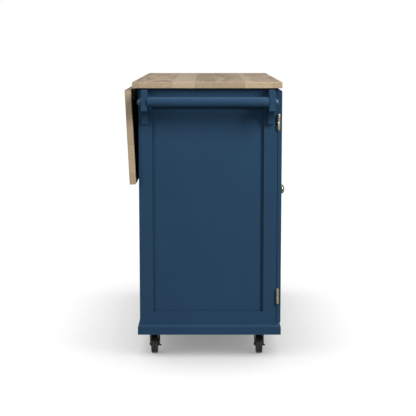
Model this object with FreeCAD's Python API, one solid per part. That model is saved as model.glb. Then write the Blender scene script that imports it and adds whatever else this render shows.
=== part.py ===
import FreeCAD, Part
import math
import os

from FreeCAD import Vector

# Kitchen island cart: a two-door, three-drawer cabinet on casters, with a wooden
# top, a drop leaf hinged along the back and a towel bar on the left end.
# Millimetres. The drawers face -Y, the leaf hangs on +Y, the towel bar is on the
# -X end and +Z is up. While it is built, X = 0 is the middle of the cabinet and
# Y = 0 is the middle of its depth; place() then moves everything so that the
# origin is the bottom centre of the box that holds the whole cart.

# ---- overall sizes ----
CART_HEIGHT = 914.0
TOP_LENGTH = 1118.0
TOP_DEPTH = 484.0
TOP_THICK = 20.0
TOP_ROUND = 2.0
END_OVERHANG = 18.0
BACK_OVERHANG = 18.5
BODY_DEPTH = 452.0

# ---- how close two heights must be to count as the same edge ----
TINY = 0.01

# ---- cabinet boards ----
BOARD = 16.0
BACK_THICK = 12.0
FRAME_THICK = 18.0
STILE_WIDTH = 44.0
END_TOP_RAIL = 60.0
END_BOTTOM_RAIL = 73.0
END_PANEL_THICK = 9.0
END_PANEL_INSET = 8.0
SKIRT_BELOW_FLOOR = 15.0
SKIRT_DROP = 4.0
TOP_RAIL_THICK = 19.0
TOP_RAIL_WIDTH = 80.0

# ---- base moulding ----
MOULDING_HEIGHT = 37.0
MOULDING_BAND = 25.0
MOULDING_QUIRK = 1.5
MOULDING_BACK = 7.0
MOULDING_END = 7.0
MOULDING_FRONT = 15.8
MOULDING_LIP = 2.0
MOULDING_TOP_REACH = 0.2
MOULDING_COVE = (0.45, 0.42)

# ---- doors ----
DOOR_WIDTH = 308.0
DOOR_TOP_GAP = 8.0
DOOR_FOOT_GAP = 2.0
FRONT_THICK = 13.0
FRONT_GAP = 1.6
REVEAL = 3.0
DOOR_STILE = 52.0
DOOR_RAIL = 56.0
DOOR_PANEL_THICK = 6.0
DOOR_PANEL_INSET = 4.0
FRONT_ROUND = 4.0

# ---- door hinges and catches ----
HINGE_HEIGHT = 50.0
HINGE_BARREL_R = 4.3
HINGE_PIN_R = 2.2
HINGE_PLATE = 0.6
HINGE_PLATE_WIDTH = 20.0
HINGE_BELOW_TOP = 77.0
HINGE_ABOVE_FOOT = 66.0
HINGE_AXIS_FORWARD = 4.2
KNUCKLE_GAP = 0.4
RUNNING_FIT = 0.05
CATCH_SIZE = (40.0, 18.0, 12.0)
CATCH_FROM_EDGE = 60.0

# ---- knobs ----
KNOB_R = 16.5
KNOB_LENGTH = 27.0
KNOB_NECK_R = 5.5
KNOB_BASE_R = 9.0
KNOB_BASE_THICK = 3.0
KNOB_HEAD_THICK = 13.0
KNOB_HEAD_UNDER = 3.5
KNOB_HEAD_RIM = 2.5
KNOB_NECK_BLEND = 2.0
KNOB_FROM_EDGE = 32.0
DOOR_KNOB_HEIGHT = 531.0

# ---- drawers ----
TOP_DRAWER_HEIGHT = 150.0
DRAWER_BACK_GAP = 40.0
DRAWER_BOARD = 12.0
DRAWER_BOTTOM = 6.0
DRAWER_SIDE_GAP = 1.5
DRAWER_BOX_BELOW_FRONT_TOP = 24.0
DRAWER_BOX_ABOVE_FRONT_FOOT = 14.0
RUNNER_HEIGHT = 12.0
RUNNER_THICK = 6.0
RUNNER_CLEARANCE = 0.5
RUNNER_ABOVE_BOX_FOOT = 40.0

# ---- shelves ----
SHELF_THICK = 15.0
SHELF_HEIGHT = 500.0
SHELF_SIDE_GAP = 1.0
SHELF_FRONT_SETBACK = 22.0
SHELF_BACK_GAP = 2.0
PIN_R = 2.5
PIN_IN = 8.0
PIN_OUT = 8.0
PIN_FROM_EDGE = 30.0
PIN_PITCH = 32.0
PIN_HOLES_EACH_WAY = 2

# ---- towel bar ----
BAR_R = 16.5
BAR_BELOW_TOP = 43.0
BAR_OUT = 50.0
BAR_TENON_R = 9.0
BAR_CAP_R = 13.0
BAR_CAP_LENGTH = 13.0
BAR_CAP_ROUND = 7.0
BRACKET_THICK = 19.5
BRACKET_FROM_EDGE = 11.5
BRACKET_DEPTH = 62.0
BRACKET_HEAD = 66.0
BRACKET_HEIGHT = 111.0
BRACKET_BELOW_TOP = 5.0
BRACKET_FOOT = 12.0
BRACKET_HOLLOW = (0.27, 0.68)
BRACKET_ROUND = 1.5

# ---- drop leaf and its hinges ----
LEAF_WIDTH = 307.0
LEAF_GAP = 1.0
LEAF_LEAN = 2.63
LEAF_HINGE_SPACING = 420.0
LEAF_HINGE_LENGTH = 60.0
LEAF_KNUCKLE_R = 4.0
LEAF_PIN_R = 2.0
LEAF_PLATE = 1.5
LEAF_PLATE_WIDTH = 16.0
LEAF_STRAP_WIDTH = 38.0
BUMPER_R = 7.0
BUMPER_HEIGHT = 605.0
BUMPER_SPACING = 480.0
SOFT_CLEARANCE = 0.3

# ---- stays that prop the leaf ----
STAY_SPACING = 330.0
STAY_LENGTH = 170.0
STAY_WIDTH = 16.0
STAY_THICK = 5.0
STAY_EYE_R = 4.4
STAY_TIP_R = 4.0
STAY_PIN_R = 2.0
STAY_PIVOT_OUT = 5.0
STAY_RAISED_ANGLE = 135.0
STAY_LEAF_CLEARANCE = 0.4
STAY_SIDE_CLEARANCE = 0.4
STAY_EAR = 2.0
STAY_EAR_REACH = 10.0
STAY_PLATE_ABOVE_EYE = 1.0
STAY_PLATE_HEIGHT = 40.0
STAY_PLATE_WIDTH = 30.0

# ---- casters ----
CASTER_HEIGHT = 97.0
WHEEL_R = 31.75
WHEEL_WIDTH = 22.5
HUB_WIDTH = 23.0
HUB_R = 9.0
HUB_TAPER = 1.0
WHEEL_WEB_R = 22.0
WHEEL_WEB_INSET = 2.5
WHEEL_RIM_TAPER = 1.5
WHEEL_ROUND = 3.0
WHEEL_ROUND_STEPS = 4
AXLE_R = 3.0
RIVET_R = 5.5
RIVET_THICK = 2.0
CASTER_TRAIL = 22.0
CASTER_FROM_END = 80.0
CASTER_FROM_FRONT = 54.0
CASTER_FROM_BACK = 46.0
FORK_PLATE = 2.5
FORK_SIDE_GAP = 0.7
FORK_CROWN_R = 18.0
FORK_CROWN_TOP = 85.0
FORK_CROWN_THICK = 4.0
FORK_SHOULDER = 15.5
FORK_SHOULDER_DROP = 14.0
FORK_FOOT_R = 8.0
RACE_R = 19.0
RACE_GAP = 0.4
KINGPIN_R = 5.0
KINGPIN_HEAD_R = 8.0
KINGPIN_HEAD_THICK = 2.5
PLATE_LENGTH = 62.0
PLATE_WIDTH = 46.0
PLATE_THICK = 2.5
BRAKE_PIVOT_X = 4.0
BRAKE_PIVOT_Z = 68.0
BRAKE_FOOT_Z = 22.0
BRAKE_THICK = 2.0
BRAKE_GAP = 0.4
BRAKE_EYE_R = 6.0
BRAKE_STUD_R = 2.5
BRAKE_STUD_HEAD = 1.2
BRAKE_STUD_HEAD_R = 4.0
BRAKE_TAB_OUT = 5.0
BRAKE_FOOT_BEHIND = 9.0
BRAKE_FOOT_AHEAD = 5.0

# ---- places worked out from the sizes ----
TOP_UNDER = CART_HEIGHT - TOP_THICK
BODY_END = TOP_LENGTH / 2 - END_OVERHANG
BODY_FRONT = -BODY_DEPTH / 2
BODY_BACK = BODY_DEPTH / 2
TOP_BACK = BODY_BACK + BACK_OVERHANG
TOP_FRONT = TOP_BACK - TOP_DEPTH
INSIDE_END = BODY_END - FRAME_THICK
FLOOR_UNDER = CASTER_HEIGHT
FLOOR_TOP = FLOOR_UNDER + BOARD
SKIRT_FOOT = FLOOR_UNDER - SKIRT_BELOW_FLOOR
MOULDING_FOOT = SKIRT_FOOT - SKIRT_DROP
BOARD_BACK = BODY_BACK - BACK_THICK
FRONT_INNER = BODY_FRONT - FRONT_GAP
FRONT_FACE = FRONT_INNER - FRONT_THICK
DOOR_TOP = TOP_UNDER - DOOR_TOP_GAP
DOOR_FOOT = MOULDING_FOOT + MOULDING_HEIGHT + DOOR_FOOT_GAP
DOOR_FREE_EDGE = BODY_END - DOOR_WIDTH
DRAWER_HALF = DOOR_FREE_EDGE - REVEAL
DIVIDER_MIDDLE = DOOR_FREE_EDGE - REVEAL / 2
DIVIDER_INNER = DIVIDER_MIDDLE - BOARD / 2
DIVIDER_OUTER = DIVIDER_MIDDLE + BOARD / 2
DIVIDER_TOP = TOP_UNDER - TOP_RAIL_THICK
HINGE_X = BODY_END + HINGE_BARREL_R
HINGE_Y = BODY_FRONT - HINGE_AXIS_FORWARD
HINGE_MIDDLES = (DOOR_TOP - HINGE_BELOW_TOP - HINGE_HEIGHT / 2,
                 DOOR_FOOT + HINGE_ABOVE_FOOT + HINGE_HEIGHT / 2)
LEAF_PIN_Y = TOP_BACK + LEAF_GAP / 2
LEAF_PIN_Z = TOP_UNDER - LEAF_KNUCKLE_R
LEAF_SWING = 90.0 + LEAF_LEAN
STAY_PIVOT_Y = BODY_BACK + STAY_PIVOT_OUT
STAY_RISE = -STAY_LENGTH * math.cos(math.radians(STAY_RAISED_ANGLE))
STAY_PIVOT_Z = TOP_UNDER - STAY_LEAF_CLEARANCE - STAY_TIP_R - STAY_RISE
BAR_X = -(BODY_END + BAR_OUT)
BAR_HEIGHT = TOP_UNDER - BAR_BELOW_TOP
BRACKET_INSIDE = BODY_DEPTH / 2 - BRACKET_FROM_EDGE - BRACKET_THICK
CASTER_X = BODY_END - CASTER_FROM_END
CASTER_FRONT_Y = BODY_FRONT + CASTER_FROM_FRONT
CASTER_BACK_Y = BODY_BACK - CASTER_FROM_BACK
FORK_INNER = HUB_WIDTH / 2 + FORK_SIDE_GAP
FORK_OUTER = FORK_INNER + FORK_PLATE
PIN_COUNT = 2 * PIN_HOLES_EACH_WAY + 1
LOWER_DRAWER_HEIGHT = (DOOR_TOP - DOOR_FOOT - TOP_DRAWER_HEIGHT - 2 * REVEAL) / 2
DRAWER_DEPTH = BOARD_BACK - DRAWER_BACK_GAP - FRONT_INNER

# The drawers from the top down: name, foot and top of the front.
DRAWERS = (
    ("top", DOOR_TOP - TOP_DRAWER_HEIGHT, DOOR_TOP),
    ("middle", DOOR_FOOT + LOWER_DRAWER_HEIGHT + REVEAL,
     DOOR_FOOT + 2 * LOWER_DRAWER_HEIGHT + REVEAL),
    ("bottom", DOOR_FOOT, DOOR_FOOT + LOWER_DRAWER_HEIGHT),
)

# The casters: name, centre of the swivel, and whether it has a brake.
CASTERS = (
    ("left_front", -CASTER_X, CASTER_FRONT_Y, True),
    ("left_back", -CASTER_X, CASTER_BACK_Y, True),
    ("right_front", CASTER_X, CASTER_FRONT_Y, False),
    ("right_back", CASTER_X, CASTER_BACK_Y, False),
)


def block(x0, x1, y0, y1, z0, z1):
    """A rectangular board between two corners."""
    size = (abs(x1 - x0), abs(y1 - y0), abs(z1 - z0))
    return Part.makeBox(*size, Vector(min(x0, x1), min(y0, y1), min(z0, z1)))


def rod(start, direction, length, radius):
    """A round bar from a point along a direction."""
    return Part.makeCylinder(radius, length, Vector(*start), Vector(*direction))


def mirrored(shape):
    """The same piece for the other end of the cart."""
    return shape.mirror(Vector(0, 0, 0), Vector(1, 0, 0))


def group(shapes):
    """Several separate solids kept together as one piece of the list."""
    solids = []
    for shape in shapes:
        solids.extend(shape.Solids)
    return Part.makeCompound(solids)


def rounded(shape, radius, picked):
    """The solid with the edges that picked() accepts rounded."""
    edges = [edge for edge in shape.Edges if picked(edge)]
    return shape.makeFillet(radius, edges)


def prism(points, start, direction, length):
    """A flat outline, given as 3-D points, pushed along a direction."""
    corners = [Vector(*point) for point in points]
    face = Part.Face(Part.makePolygon(corners + [corners[0]]))
    face.translate(Vector(*start))
    return face.extrude(Vector(*direction) * length)


def turned(profile, centre, axis):
    """A turned piece: profile is (radius, height) points, closed on the axis."""
    points = [Vector(radius, 0, height) for radius, height in profile]
    wire = Part.makePolygon(points + [points[0]])
    solid = Part.Face(wire).revolve(Vector(0, 0, 0), Vector(0, 0, 1), 360)
    turn = FreeCAD.Rotation(Vector(0, 0, 1), Vector(*axis))
    solid.Placement = FreeCAD.Placement(Vector(*centre), turn)
    return solid


# ---- top ----

def make_slab(x0, x1, y0, y1):
    """A solid wooden board of the top's thickness, with its long edges eased."""
    board = block(x0, x1, y0, y1, TOP_UNDER, CART_HEIGHT)

    def outside(edge):
        return edge.BoundBox.ZMin > TOP_UNDER + TOP_THICK / 2

    return rounded(board, TOP_ROUND, outside)


def make_worktop():
    half = TOP_LENGTH / 2
    return make_slab(-half, half, TOP_FRONT, TOP_BACK)


# ---- cabinet ----

def make_end_stiles():
    """The two uprights of the left end frame, with bored rows for shelf pins."""
    stiles = []
    for y0, side in ((BODY_FRONT, 1), (BODY_BACK, -1)):
        y1 = y0 + side * STILE_WIDTH
        stile = block(-BODY_END, -INSIDE_END, y0, y1, SKIRT_FOOT, TOP_UNDER)
        pin_y = y0 + side * PIN_FROM_EDGE
        stiles.append(stile.cut(make_pin_holes(-INSIDE_END, pin_y, -1)))
    return group(stiles)


def make_end_rails():
    """The top and bottom rails between the uprights of the left end frame."""
    reach = BODY_DEPTH / 2 - STILE_WIDTH
    top = block(-BODY_END, -INSIDE_END, -reach, reach, TOP_UNDER - END_TOP_RAIL, TOP_UNDER)
    foot = SKIRT_FOOT
    bottom = block(-BODY_END, -INSIDE_END, -reach, reach, foot, foot + END_BOTTOM_RAIL)
    return group([top, bottom])


def make_end_panel():
    """The thin panel set back inside the left end frame."""
    reach = BODY_DEPTH / 2 - STILE_WIDTH
    x0 = -BODY_END + END_PANEL_INSET
    foot = SKIRT_FOOT + END_BOTTOM_RAIL
    return block(x0, x0 + END_PANEL_THICK, -reach, reach, foot, TOP_UNDER - END_TOP_RAIL)


def make_back_panel():
    return block(-INSIDE_END, INSIDE_END, BOARD_BACK, BODY_BACK, SKIRT_FOOT, TOP_UNDER)


def make_pin_holes(face_x, y, side):
    """A column of blind holes for shelf pins, bored into a face."""
    holes = []
    for step in range(-PIN_HOLES_EACH_WAY, PIN_HOLES_EACH_WAY + 1):
        z = SHELF_HEIGHT - PIN_R + step * PIN_PITCH
        holes.append(rod((face_x, y, z), (side, 0, 0), PIN_IN, PIN_R))
    return Part.makeCompound(holes)


def make_divider():
    """The upright board between the left cupboard and the drawers."""
    board = block(-DIVIDER_OUTER, -DIVIDER_INNER, BODY_FRONT, BOARD_BACK, FLOOR_TOP, DIVIDER_TOP)
    for y in (BODY_FRONT + PIN_FROM_EDGE, BODY_BACK - PIN_FROM_EDGE):
        board = board.cut(make_pin_holes(-DIVIDER_OUTER, y, 1))
    return board


def make_bottom_board():
    return block(-INSIDE_END, INSIDE_END, BODY_FRONT, BOARD_BACK, FLOOR_UNDER, FLOOR_TOP)


def make_top_rails():
    """The flat rails under the top, one along the front and one along the back."""
    front = block(-INSIDE_END, INSIDE_END, BODY_FRONT, BODY_FRONT + TOP_RAIL_WIDTH,
                  DIVIDER_TOP, TOP_UNDER)
    back = block(-INSIDE_END, INSIDE_END, BOARD_BACK - TOP_RAIL_WIDTH, BOARD_BACK,
                 DIVIDER_TOP, TOP_UNDER)
    return group([front, back])


def moulding_outline(reach):
    """The base moulding's section: (distance out from the cabinet, height)."""
    foot = MOULDING_FOOT
    band = foot + MOULDING_BAND
    top = foot + MOULDING_HEIGHT
    lip = reach - MOULDING_LIP
    straight = [Vector(0, 0, top), Vector(0, 0, foot), Vector(reach, 0, foot),
                Vector(reach, 0, band), Vector(lip, 0, band),
                Vector(lip, 0, band + MOULDING_QUIRK)]
    edges = [Part.LineSegment(a, b).toShape() for a, b in zip(straight, straight[1:])]
    start = straight[-1]
    end = Vector(reach * MOULDING_TOP_REACH, 0, top)
    middle = Vector(start.x * MOULDING_COVE[0], 0, start.z + (top - start.z) * MOULDING_COVE[1])
    edges.append(Part.Arc(start, middle, end).toShape())
    edges.append(Part.LineSegment(end, straight[0]).toShape())
    return Part.Face(Part.Wire(edges))


def mitre_waste(reach, end_reach):
    """What a mitre takes off beyond a corner at X = 0; the strip runs towards -X."""
    over = 2.0
    outline = [(0, 0, 0), (end_reach * over, -reach * over, 0),
               (end_reach * over * 2, -reach * over, 0), (end_reach * over * 2, 0, 0)]
    return prism(outline, (0, 0, MOULDING_FOOT), (0, 0, 1), MOULDING_HEIGHT)


def make_moulding(reach, length, start_reach, end_reach):
    """One mitred length, along +X from 0, facing -Y, its back on Y = 0."""
    face = moulding_outline(reach)
    face.rotate(Vector(0, 0, 0), Vector(0, 0, 1), -90)
    face.translate(Vector(-start_reach, 0, 0))
    strip = face.extrude(Vector(length + start_reach + end_reach, 0, 0))
    end_waste = mitre_waste(reach, end_reach)
    end_waste.translate(Vector(length, 0, 0))
    return strip.cut(mirrored(mitre_waste(reach, start_reach))).cut(end_waste)


def make_base_mouldings():
    """The four mitred lengths round the foot of the cabinet."""
    length = 2 * BODY_END
    front = make_moulding(MOULDING_FRONT, length, MOULDING_END, MOULDING_END)
    front.translate(Vector(-BODY_END, BODY_FRONT, 0))
    back = make_moulding(MOULDING_BACK, length, MOULDING_END, MOULDING_END)
    back.rotate(Vector(0, 0, 0), Vector(0, 0, 1), 180)
    back.translate(Vector(BODY_END, BODY_BACK, 0))
    left = make_moulding(MOULDING_END, BODY_DEPTH, MOULDING_BACK, MOULDING_FRONT)
    left.rotate(Vector(0, 0, 0), Vector(0, 0, 1), -90)
    left.translate(Vector(-BODY_END, BODY_BACK, 0))
    return group([front, back, left, mirrored(left)])


# ---- shelves ----

def make_shelf():
    """The shelf of the left cupboard, resting on its pins."""
    return block(-INSIDE_END + SHELF_SIDE_GAP, -DIVIDER_OUTER - SHELF_SIDE_GAP,
                 BODY_FRONT + SHELF_FRONT_SETBACK, BOARD_BACK - SHELF_BACK_GAP,
                 SHELF_HEIGHT, SHELF_HEIGHT + SHELF_THICK)


def make_shelf_pins():
    """Four pins under each shelf, seated in the bored rows."""
    pins = []
    z = SHELF_HEIGHT - PIN_R
    for y in (BODY_FRONT + PIN_FROM_EDGE, BODY_BACK - PIN_FROM_EDGE):
        length = PIN_IN + PIN_OUT
        pins.append(rod((-INSIDE_END - PIN_IN, y, z), (1, 0, 0), length, PIN_R))
        pins.append(rod((-DIVIDER_OUTER - PIN_OUT, y, z), (1, 0, 0), length, PIN_R))
    return group(pins + [mirrored(pin) for pin in pins])


# ---- doors ----

def rounded_front(board, heights):
    """Round a front board's outer edges that lie level at the given heights."""

    def picked(edge):
        box = edge.BoundBox
        if box.YMax > FRONT_FACE + TINY or box.ZMax - box.ZMin > TINY:
            return False
        return any(abs(box.ZMin - height) < TINY for height in heights)

    return rounded(board, FRONT_ROUND, picked)


def make_door_frame():
    """The uprights and rails of the left door."""
    x0 = -BODY_END
    x1 = -DOOR_FREE_EDGE
    parts = []
    for stile_x in (x0, x1 - DOOR_STILE):
        stile = block(stile_x, stile_x + DOOR_STILE, FRONT_FACE, FRONT_INNER, DOOR_FOOT, DOOR_TOP)
        parts.append(rounded_front(stile, (DOOR_FOOT, DOOR_TOP)))
    for z0, outline in ((DOOR_FOOT, DOOR_FOOT), (DOOR_TOP - DOOR_RAIL, DOOR_TOP)):
        rail = block(x0 + DOOR_STILE, x1 - DOOR_STILE, FRONT_FACE, FRONT_INNER, z0, z0 + DOOR_RAIL)
        parts.append(rounded_front(rail, (outline,)))
    return group(parts)


def make_door_panel():
    y0 = FRONT_FACE + DOOR_PANEL_INSET
    return block(-BODY_END + DOOR_STILE, -DOOR_FREE_EDGE - DOOR_STILE, y0, y0 + DOOR_PANEL_THICK,
                 DOOR_FOOT + DOOR_RAIL, DOOR_TOP - DOOR_RAIL)


def make_hinge_half(middle, plate_y0, knuckle_z0, knuckle_z1, bore_r):
    """One half of a butt hinge of the left door: a full-height plate and one knuckle."""
    y1 = plate_y0 + HINGE_PLATE
    foot = middle - HINGE_HEIGHT / 2
    plate = block(-BODY_END, -BODY_END + HINGE_PLATE_WIDTH, plate_y0, y1, foot, foot + HINGE_HEIGHT)
    web = block(-HINGE_X, -BODY_END, plate_y0, y1, knuckle_z0, knuckle_z1)
    length = knuckle_z1 - knuckle_z0
    knuckle = rod((-HINGE_X, HINGE_Y, knuckle_z0), (0, 0, 1), length, HINGE_BARREL_R)
    bore = rod((-HINGE_X, HINGE_Y, knuckle_z0), (0, 0, 1), length, bore_r)
    return plate.fuse(web).fuse(knuckle).cut(bore).removeSplitter()


def make_door_hinge_plates():
    """The cabinet's half of each door hinge: the lower knuckle and its plate."""
    plates = [make_hinge_half(middle, BODY_FRONT - HINGE_PLATE, middle - HINGE_HEIGHT / 2, middle,
                              HINGE_PIN_R)
              for middle in HINGE_MIDDLES]
    return group(plates + [mirrored(plate) for plate in plates])


def make_door_hinge_leaves():
    """The left door's half of each hinge: the upper knuckle and its plate."""
    return group([make_hinge_half(middle, FRONT_INNER, middle + KNUCKLE_GAP,
                                  middle + HINGE_HEIGHT / 2, HINGE_PIN_R + RUNNING_FIT)
                  for middle in HINGE_MIDDLES])


def make_door_hinge_pins():
    pins = []
    for middle in HINGE_MIDDLES:
        pins.append(rod((-HINGE_X, HINGE_Y, middle - HINGE_HEIGHT / 2), (0, 0, 1),
                        HINGE_HEIGHT, HINGE_PIN_R))
    return group(pins + [mirrored(pin) for pin in pins])


def make_door_catches():
    """A magnetic catch under the front rail, inside the free edge of each door."""
    length, depth, height = CATCH_SIZE
    x1 = -DOOR_FREE_EDGE - CATCH_FROM_EDGE + length
    catch = block(x1 - length, x1, BODY_FRONT, BODY_FRONT + depth, DIVIDER_TOP - height,
                  DIVIDER_TOP)
    return group([catch, mirrored(catch)])


def make_knob(x, z):
    """A turned knob standing on a door or drawer front."""
    head = KNOB_LENGTH - KNOB_HEAD_THICK
    rim = head + KNOB_HEAD_UNDER + KNOB_HEAD_RIM
    dome = [(KNOB_R * math.cos(math.radians(angle)),
             rim + (KNOB_LENGTH - rim) * math.sin(math.radians(angle)))
            for angle in range(0, 90, 15)]
    profile = [(0, 0), (KNOB_BASE_R, 0), (KNOB_BASE_R, KNOB_BASE_THICK),
               (KNOB_NECK_R, KNOB_BASE_THICK + KNOB_NECK_BLEND),
               (KNOB_NECK_R, head - KNOB_NECK_BLEND), (KNOB_R - KNOB_HEAD_UNDER, head),
               (KNOB_R, head + KNOB_HEAD_UNDER)]
    return turned(profile + dome + [(0, KNOB_LENGTH)], (x, FRONT_FACE, z), (0, -1, 0))


# ---- drawers ----

def make_drawer_front(foot, top):
    board = block(-DRAWER_HALF, DRAWER_HALF, FRONT_FACE, FRONT_INNER, foot, top)
    return rounded_front(board, (foot, top))


def drawer_box_levels(foot, top):
    return foot + DRAWER_BOX_ABOVE_FRONT_FOOT, top - DRAWER_BOX_BELOW_FRONT_TOP


def make_drawer_box(foot, top):
    """Two grooved sides, an inner front, a back and a bottom board."""
    low, high = drawer_box_levels(foot, top)
    half = DIVIDER_INNER - DRAWER_SIDE_GAP
    inner = half - DRAWER_BOARD
    y0 = FRONT_INNER
    y1 = y0 + DRAWER_DEPTH
    side = block(-half, -inner, y0, y1, low, high)
    groove_depth = RUNNER_THICK - DRAWER_SIDE_GAP + RUNNER_CLEARANCE
    groove_foot = low + RUNNER_ABOVE_BOX_FOOT - RUNNER_CLEARANCE
    groove = block(-half, -half + groove_depth, y0 + DRAWER_BOARD, y1,
                   groove_foot, groove_foot + RUNNER_HEIGHT + 2 * RUNNER_CLEARANCE)
    side = side.cut(groove)
    front = block(-inner, inner, y0, y0 + DRAWER_BOARD, low, high)
    back = block(-inner, inner, y1 - DRAWER_BOARD, y1, low, high)
    bottom = block(-inner, inner, y0 + DRAWER_BOARD, y1 - DRAWER_BOARD, low, low + DRAWER_BOTTOM)
    return group([side, mirrored(side), front, back, bottom])


def make_drawer_runners():
    """The hardwood strips on the dividers that the drawer grooves slide on."""
    strips = []
    for _, foot, top in DRAWERS:
        z0 = drawer_box_levels(foot, top)[0] + RUNNER_ABOVE_BOX_FOOT
        y0 = FRONT_INNER + DRAWER_BOARD + RUNNER_CLEARANCE
        strip = block(-DIVIDER_INNER, -DIVIDER_INNER + RUNNER_THICK,
                      y0, y0 + DRAWER_DEPTH - DRAWER_BOARD, z0, z0 + RUNNER_HEIGHT)
        strips.extend([strip, mirrored(strip)])
    return group(strips)


# ---- towel bar ----

def make_towel_bracket():
    """A wooden corbel on the left end: square head, hollow curve below."""
    top = TOP_UNDER - BRACKET_BELOW_TOP
    foot = top - BRACKET_HEIGHT
    head_foot = top - BRACKET_HEAD
    outline = [Vector(-BRACKET_FOOT, 0, foot), Vector(0, 0, foot), Vector(0, 0, top),
               Vector(-BRACKET_DEPTH, 0, top), Vector(-BRACKET_DEPTH, 0, head_foot)]
    edges = [Part.LineSegment(a, b).toShape() for a, b in zip(outline, outline[1:])]
    across, up = BRACKET_HOLLOW
    bend = Vector(-BRACKET_FOOT - across * (BRACKET_DEPTH - BRACKET_FOOT), 0,
                  foot + up * (head_foot - foot))
    edges.append(Part.Arc(outline[-1], bend, outline[0]).toShape())
    solid = Part.Face(Part.Wire(edges)).extrude(Vector(0, BRACKET_THICK, 0))
    solid.translate(Vector(-BODY_END, BRACKET_INSIDE, 0))
    bore = rod((BAR_X, BRACKET_INSIDE, BAR_HEIGHT), (0, 1, 0), BRACKET_THICK,
               BAR_TENON_R + RUNNING_FIT)

    def outer(edge):
        box = edge.BoundBox
        return box.XMax < -BODY_END - TINY and box.YMax - box.YMin < TINY

    return rounded(solid, BRACKET_ROUND, outer).cut(bore)


def make_towel_brackets():
    back = make_towel_bracket()
    front = back.mirror(Vector(0, 0, 0), Vector(0, 1, 0))
    return group([front, back])


def make_towel_bar():
    """The bar between the brackets, with a tenon through each of them."""
    tenon_end = BRACKET_INSIDE + BRACKET_THICK
    profile = [(0, -tenon_end), (BAR_TENON_R, -tenon_end), (BAR_TENON_R, -BRACKET_INSIDE),
               (BAR_R, -BRACKET_INSIDE), (BAR_R, BRACKET_INSIDE), (BAR_TENON_R, BRACKET_INSIDE),
               (BAR_TENON_R, tenon_end), (0, tenon_end)]
    return turned(profile, (BAR_X, 0, BAR_HEIGHT), (0, 1, 0))


def make_towel_bar_caps():
    """A rounded cap over each tenon, outside the brackets."""
    start = BRACKET_INSIDE + BRACKET_THICK
    cap = rod((BAR_X, start, BAR_HEIGHT), (0, 1, 0), BAR_CAP_LENGTH, BAR_CAP_R)
    cap = rounded(cap, BAR_CAP_ROUND, lambda edge: edge.BoundBox.YMin > start + TINY)
    return group([cap, cap.mirror(Vector(0, 0, 0), Vector(0, 1, 0))])


# ---- drop leaf ----

def hang(shape):
    """Swing a piece of the leaf from level to the way it hangs."""
    shape.rotate(Vector(0, LEAF_PIN_Y, LEAF_PIN_Z), Vector(1, 0, 0), -LEAF_SWING)
    return shape


def make_drop_leaf():
    half = TOP_LENGTH / 2
    y0 = TOP_BACK + LEAF_GAP
    return hang(make_slab(-half, half, y0, y0 + LEAF_WIDTH))


def leaf_hinge_places():
    return (-LEAF_HINGE_SPACING, 0.0, LEAF_HINGE_SPACING)


def leaf_knuckle(x0, x1, bore):
    """A knuckle of a leaf hinge and the hole for its pin."""
    barrel = rod((x0, LEAF_PIN_Y, LEAF_PIN_Z), (1, 0, 0), x1 - x0, LEAF_KNUCKLE_R)
    hole = rod((x0, LEAF_PIN_Y, LEAF_PIN_Z), (1, 0, 0), x1 - x0, bore)
    return barrel, hole


def make_leaf_hinge_plates():
    """The halves screwed under the top: a plate and two outer knuckles."""
    third = LEAF_HINGE_LENGTH / 3
    plates = []
    for x in leaf_hinge_places():
        x0 = x - LEAF_HINGE_LENGTH / 2
        plate = block(x0, x0 + LEAF_HINGE_LENGTH, LEAF_PIN_Y - LEAF_PLATE_WIDTH,
                      LEAF_PIN_Y - LEAF_KNUCKLE_R, TOP_UNDER - LEAF_PLATE, TOP_UNDER)
        for k0 in (x0, x0 + 2 * third):
            barrel, hole = leaf_knuckle(k0, k0 + third, LEAF_PIN_R)
            web = block(k0, k0 + third, LEAF_PIN_Y - LEAF_KNUCKLE_R, LEAF_PIN_Y,
                        TOP_UNDER - LEAF_PLATE, TOP_UNDER)
            plate = plate.fuse(barrel).fuse(web).cut(hole)
        plates.append(plate)
    return group(plates)


def make_leaf_hinge_straps():
    """The halves screwed to the leaf: a strap and the middle knuckle."""
    third = LEAF_HINGE_LENGTH / 3
    straps = []
    for x in leaf_hinge_places():
        x0 = x - LEAF_HINGE_LENGTH / 2
        k0 = x0 + third + KNUCKLE_GAP
        k1 = x0 + 2 * third - KNUCKLE_GAP
        strap = block(x0, x0 + LEAF_HINGE_LENGTH, LEAF_PIN_Y + LEAF_KNUCKLE_R + KNUCKLE_GAP,
                      LEAF_PIN_Y + LEAF_STRAP_WIDTH, TOP_UNDER - LEAF_PLATE, TOP_UNDER)
        barrel, hole = leaf_knuckle(k0, k1, LEAF_PIN_R + RUNNING_FIT)
        web = block(k0, k1, LEAF_PIN_Y, LEAF_PIN_Y + LEAF_KNUCKLE_R + KNUCKLE_GAP,
                    TOP_UNDER - LEAF_PLATE, TOP_UNDER)
        straps.append(hang(strap.fuse(barrel).fuse(web).cut(hole)))
    return group(straps)


def make_leaf_hinge_pins():
    return group([rod((x - LEAF_HINGE_LENGTH / 2, LEAF_PIN_Y, LEAF_PIN_Z), (1, 0, 0),
                      LEAF_HINGE_LENGTH, LEAF_PIN_R) for x in leaf_hinge_places()])


def leaf_inner_face(z):
    """Y of the hanging leaf's inner face at a height."""
    return LEAF_PIN_Y + LEAF_KNUCKLE_R - (LEAF_PIN_Z - z) * math.tan(math.radians(LEAF_LEAN))


def make_leaf_bumpers():
    """Soft pads on the back of the cabinet that the hanging leaf leans on."""
    reach = leaf_inner_face(BUMPER_HEIGHT - BUMPER_R) - BODY_BACK - SOFT_CLEARANCE
    return group([rod((x, BODY_BACK, BUMPER_HEIGHT), (0, 1, 0), reach, BUMPER_R)
                  for x in (-BUMPER_SPACING, BUMPER_SPACING)])


# ---- stays ----

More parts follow.
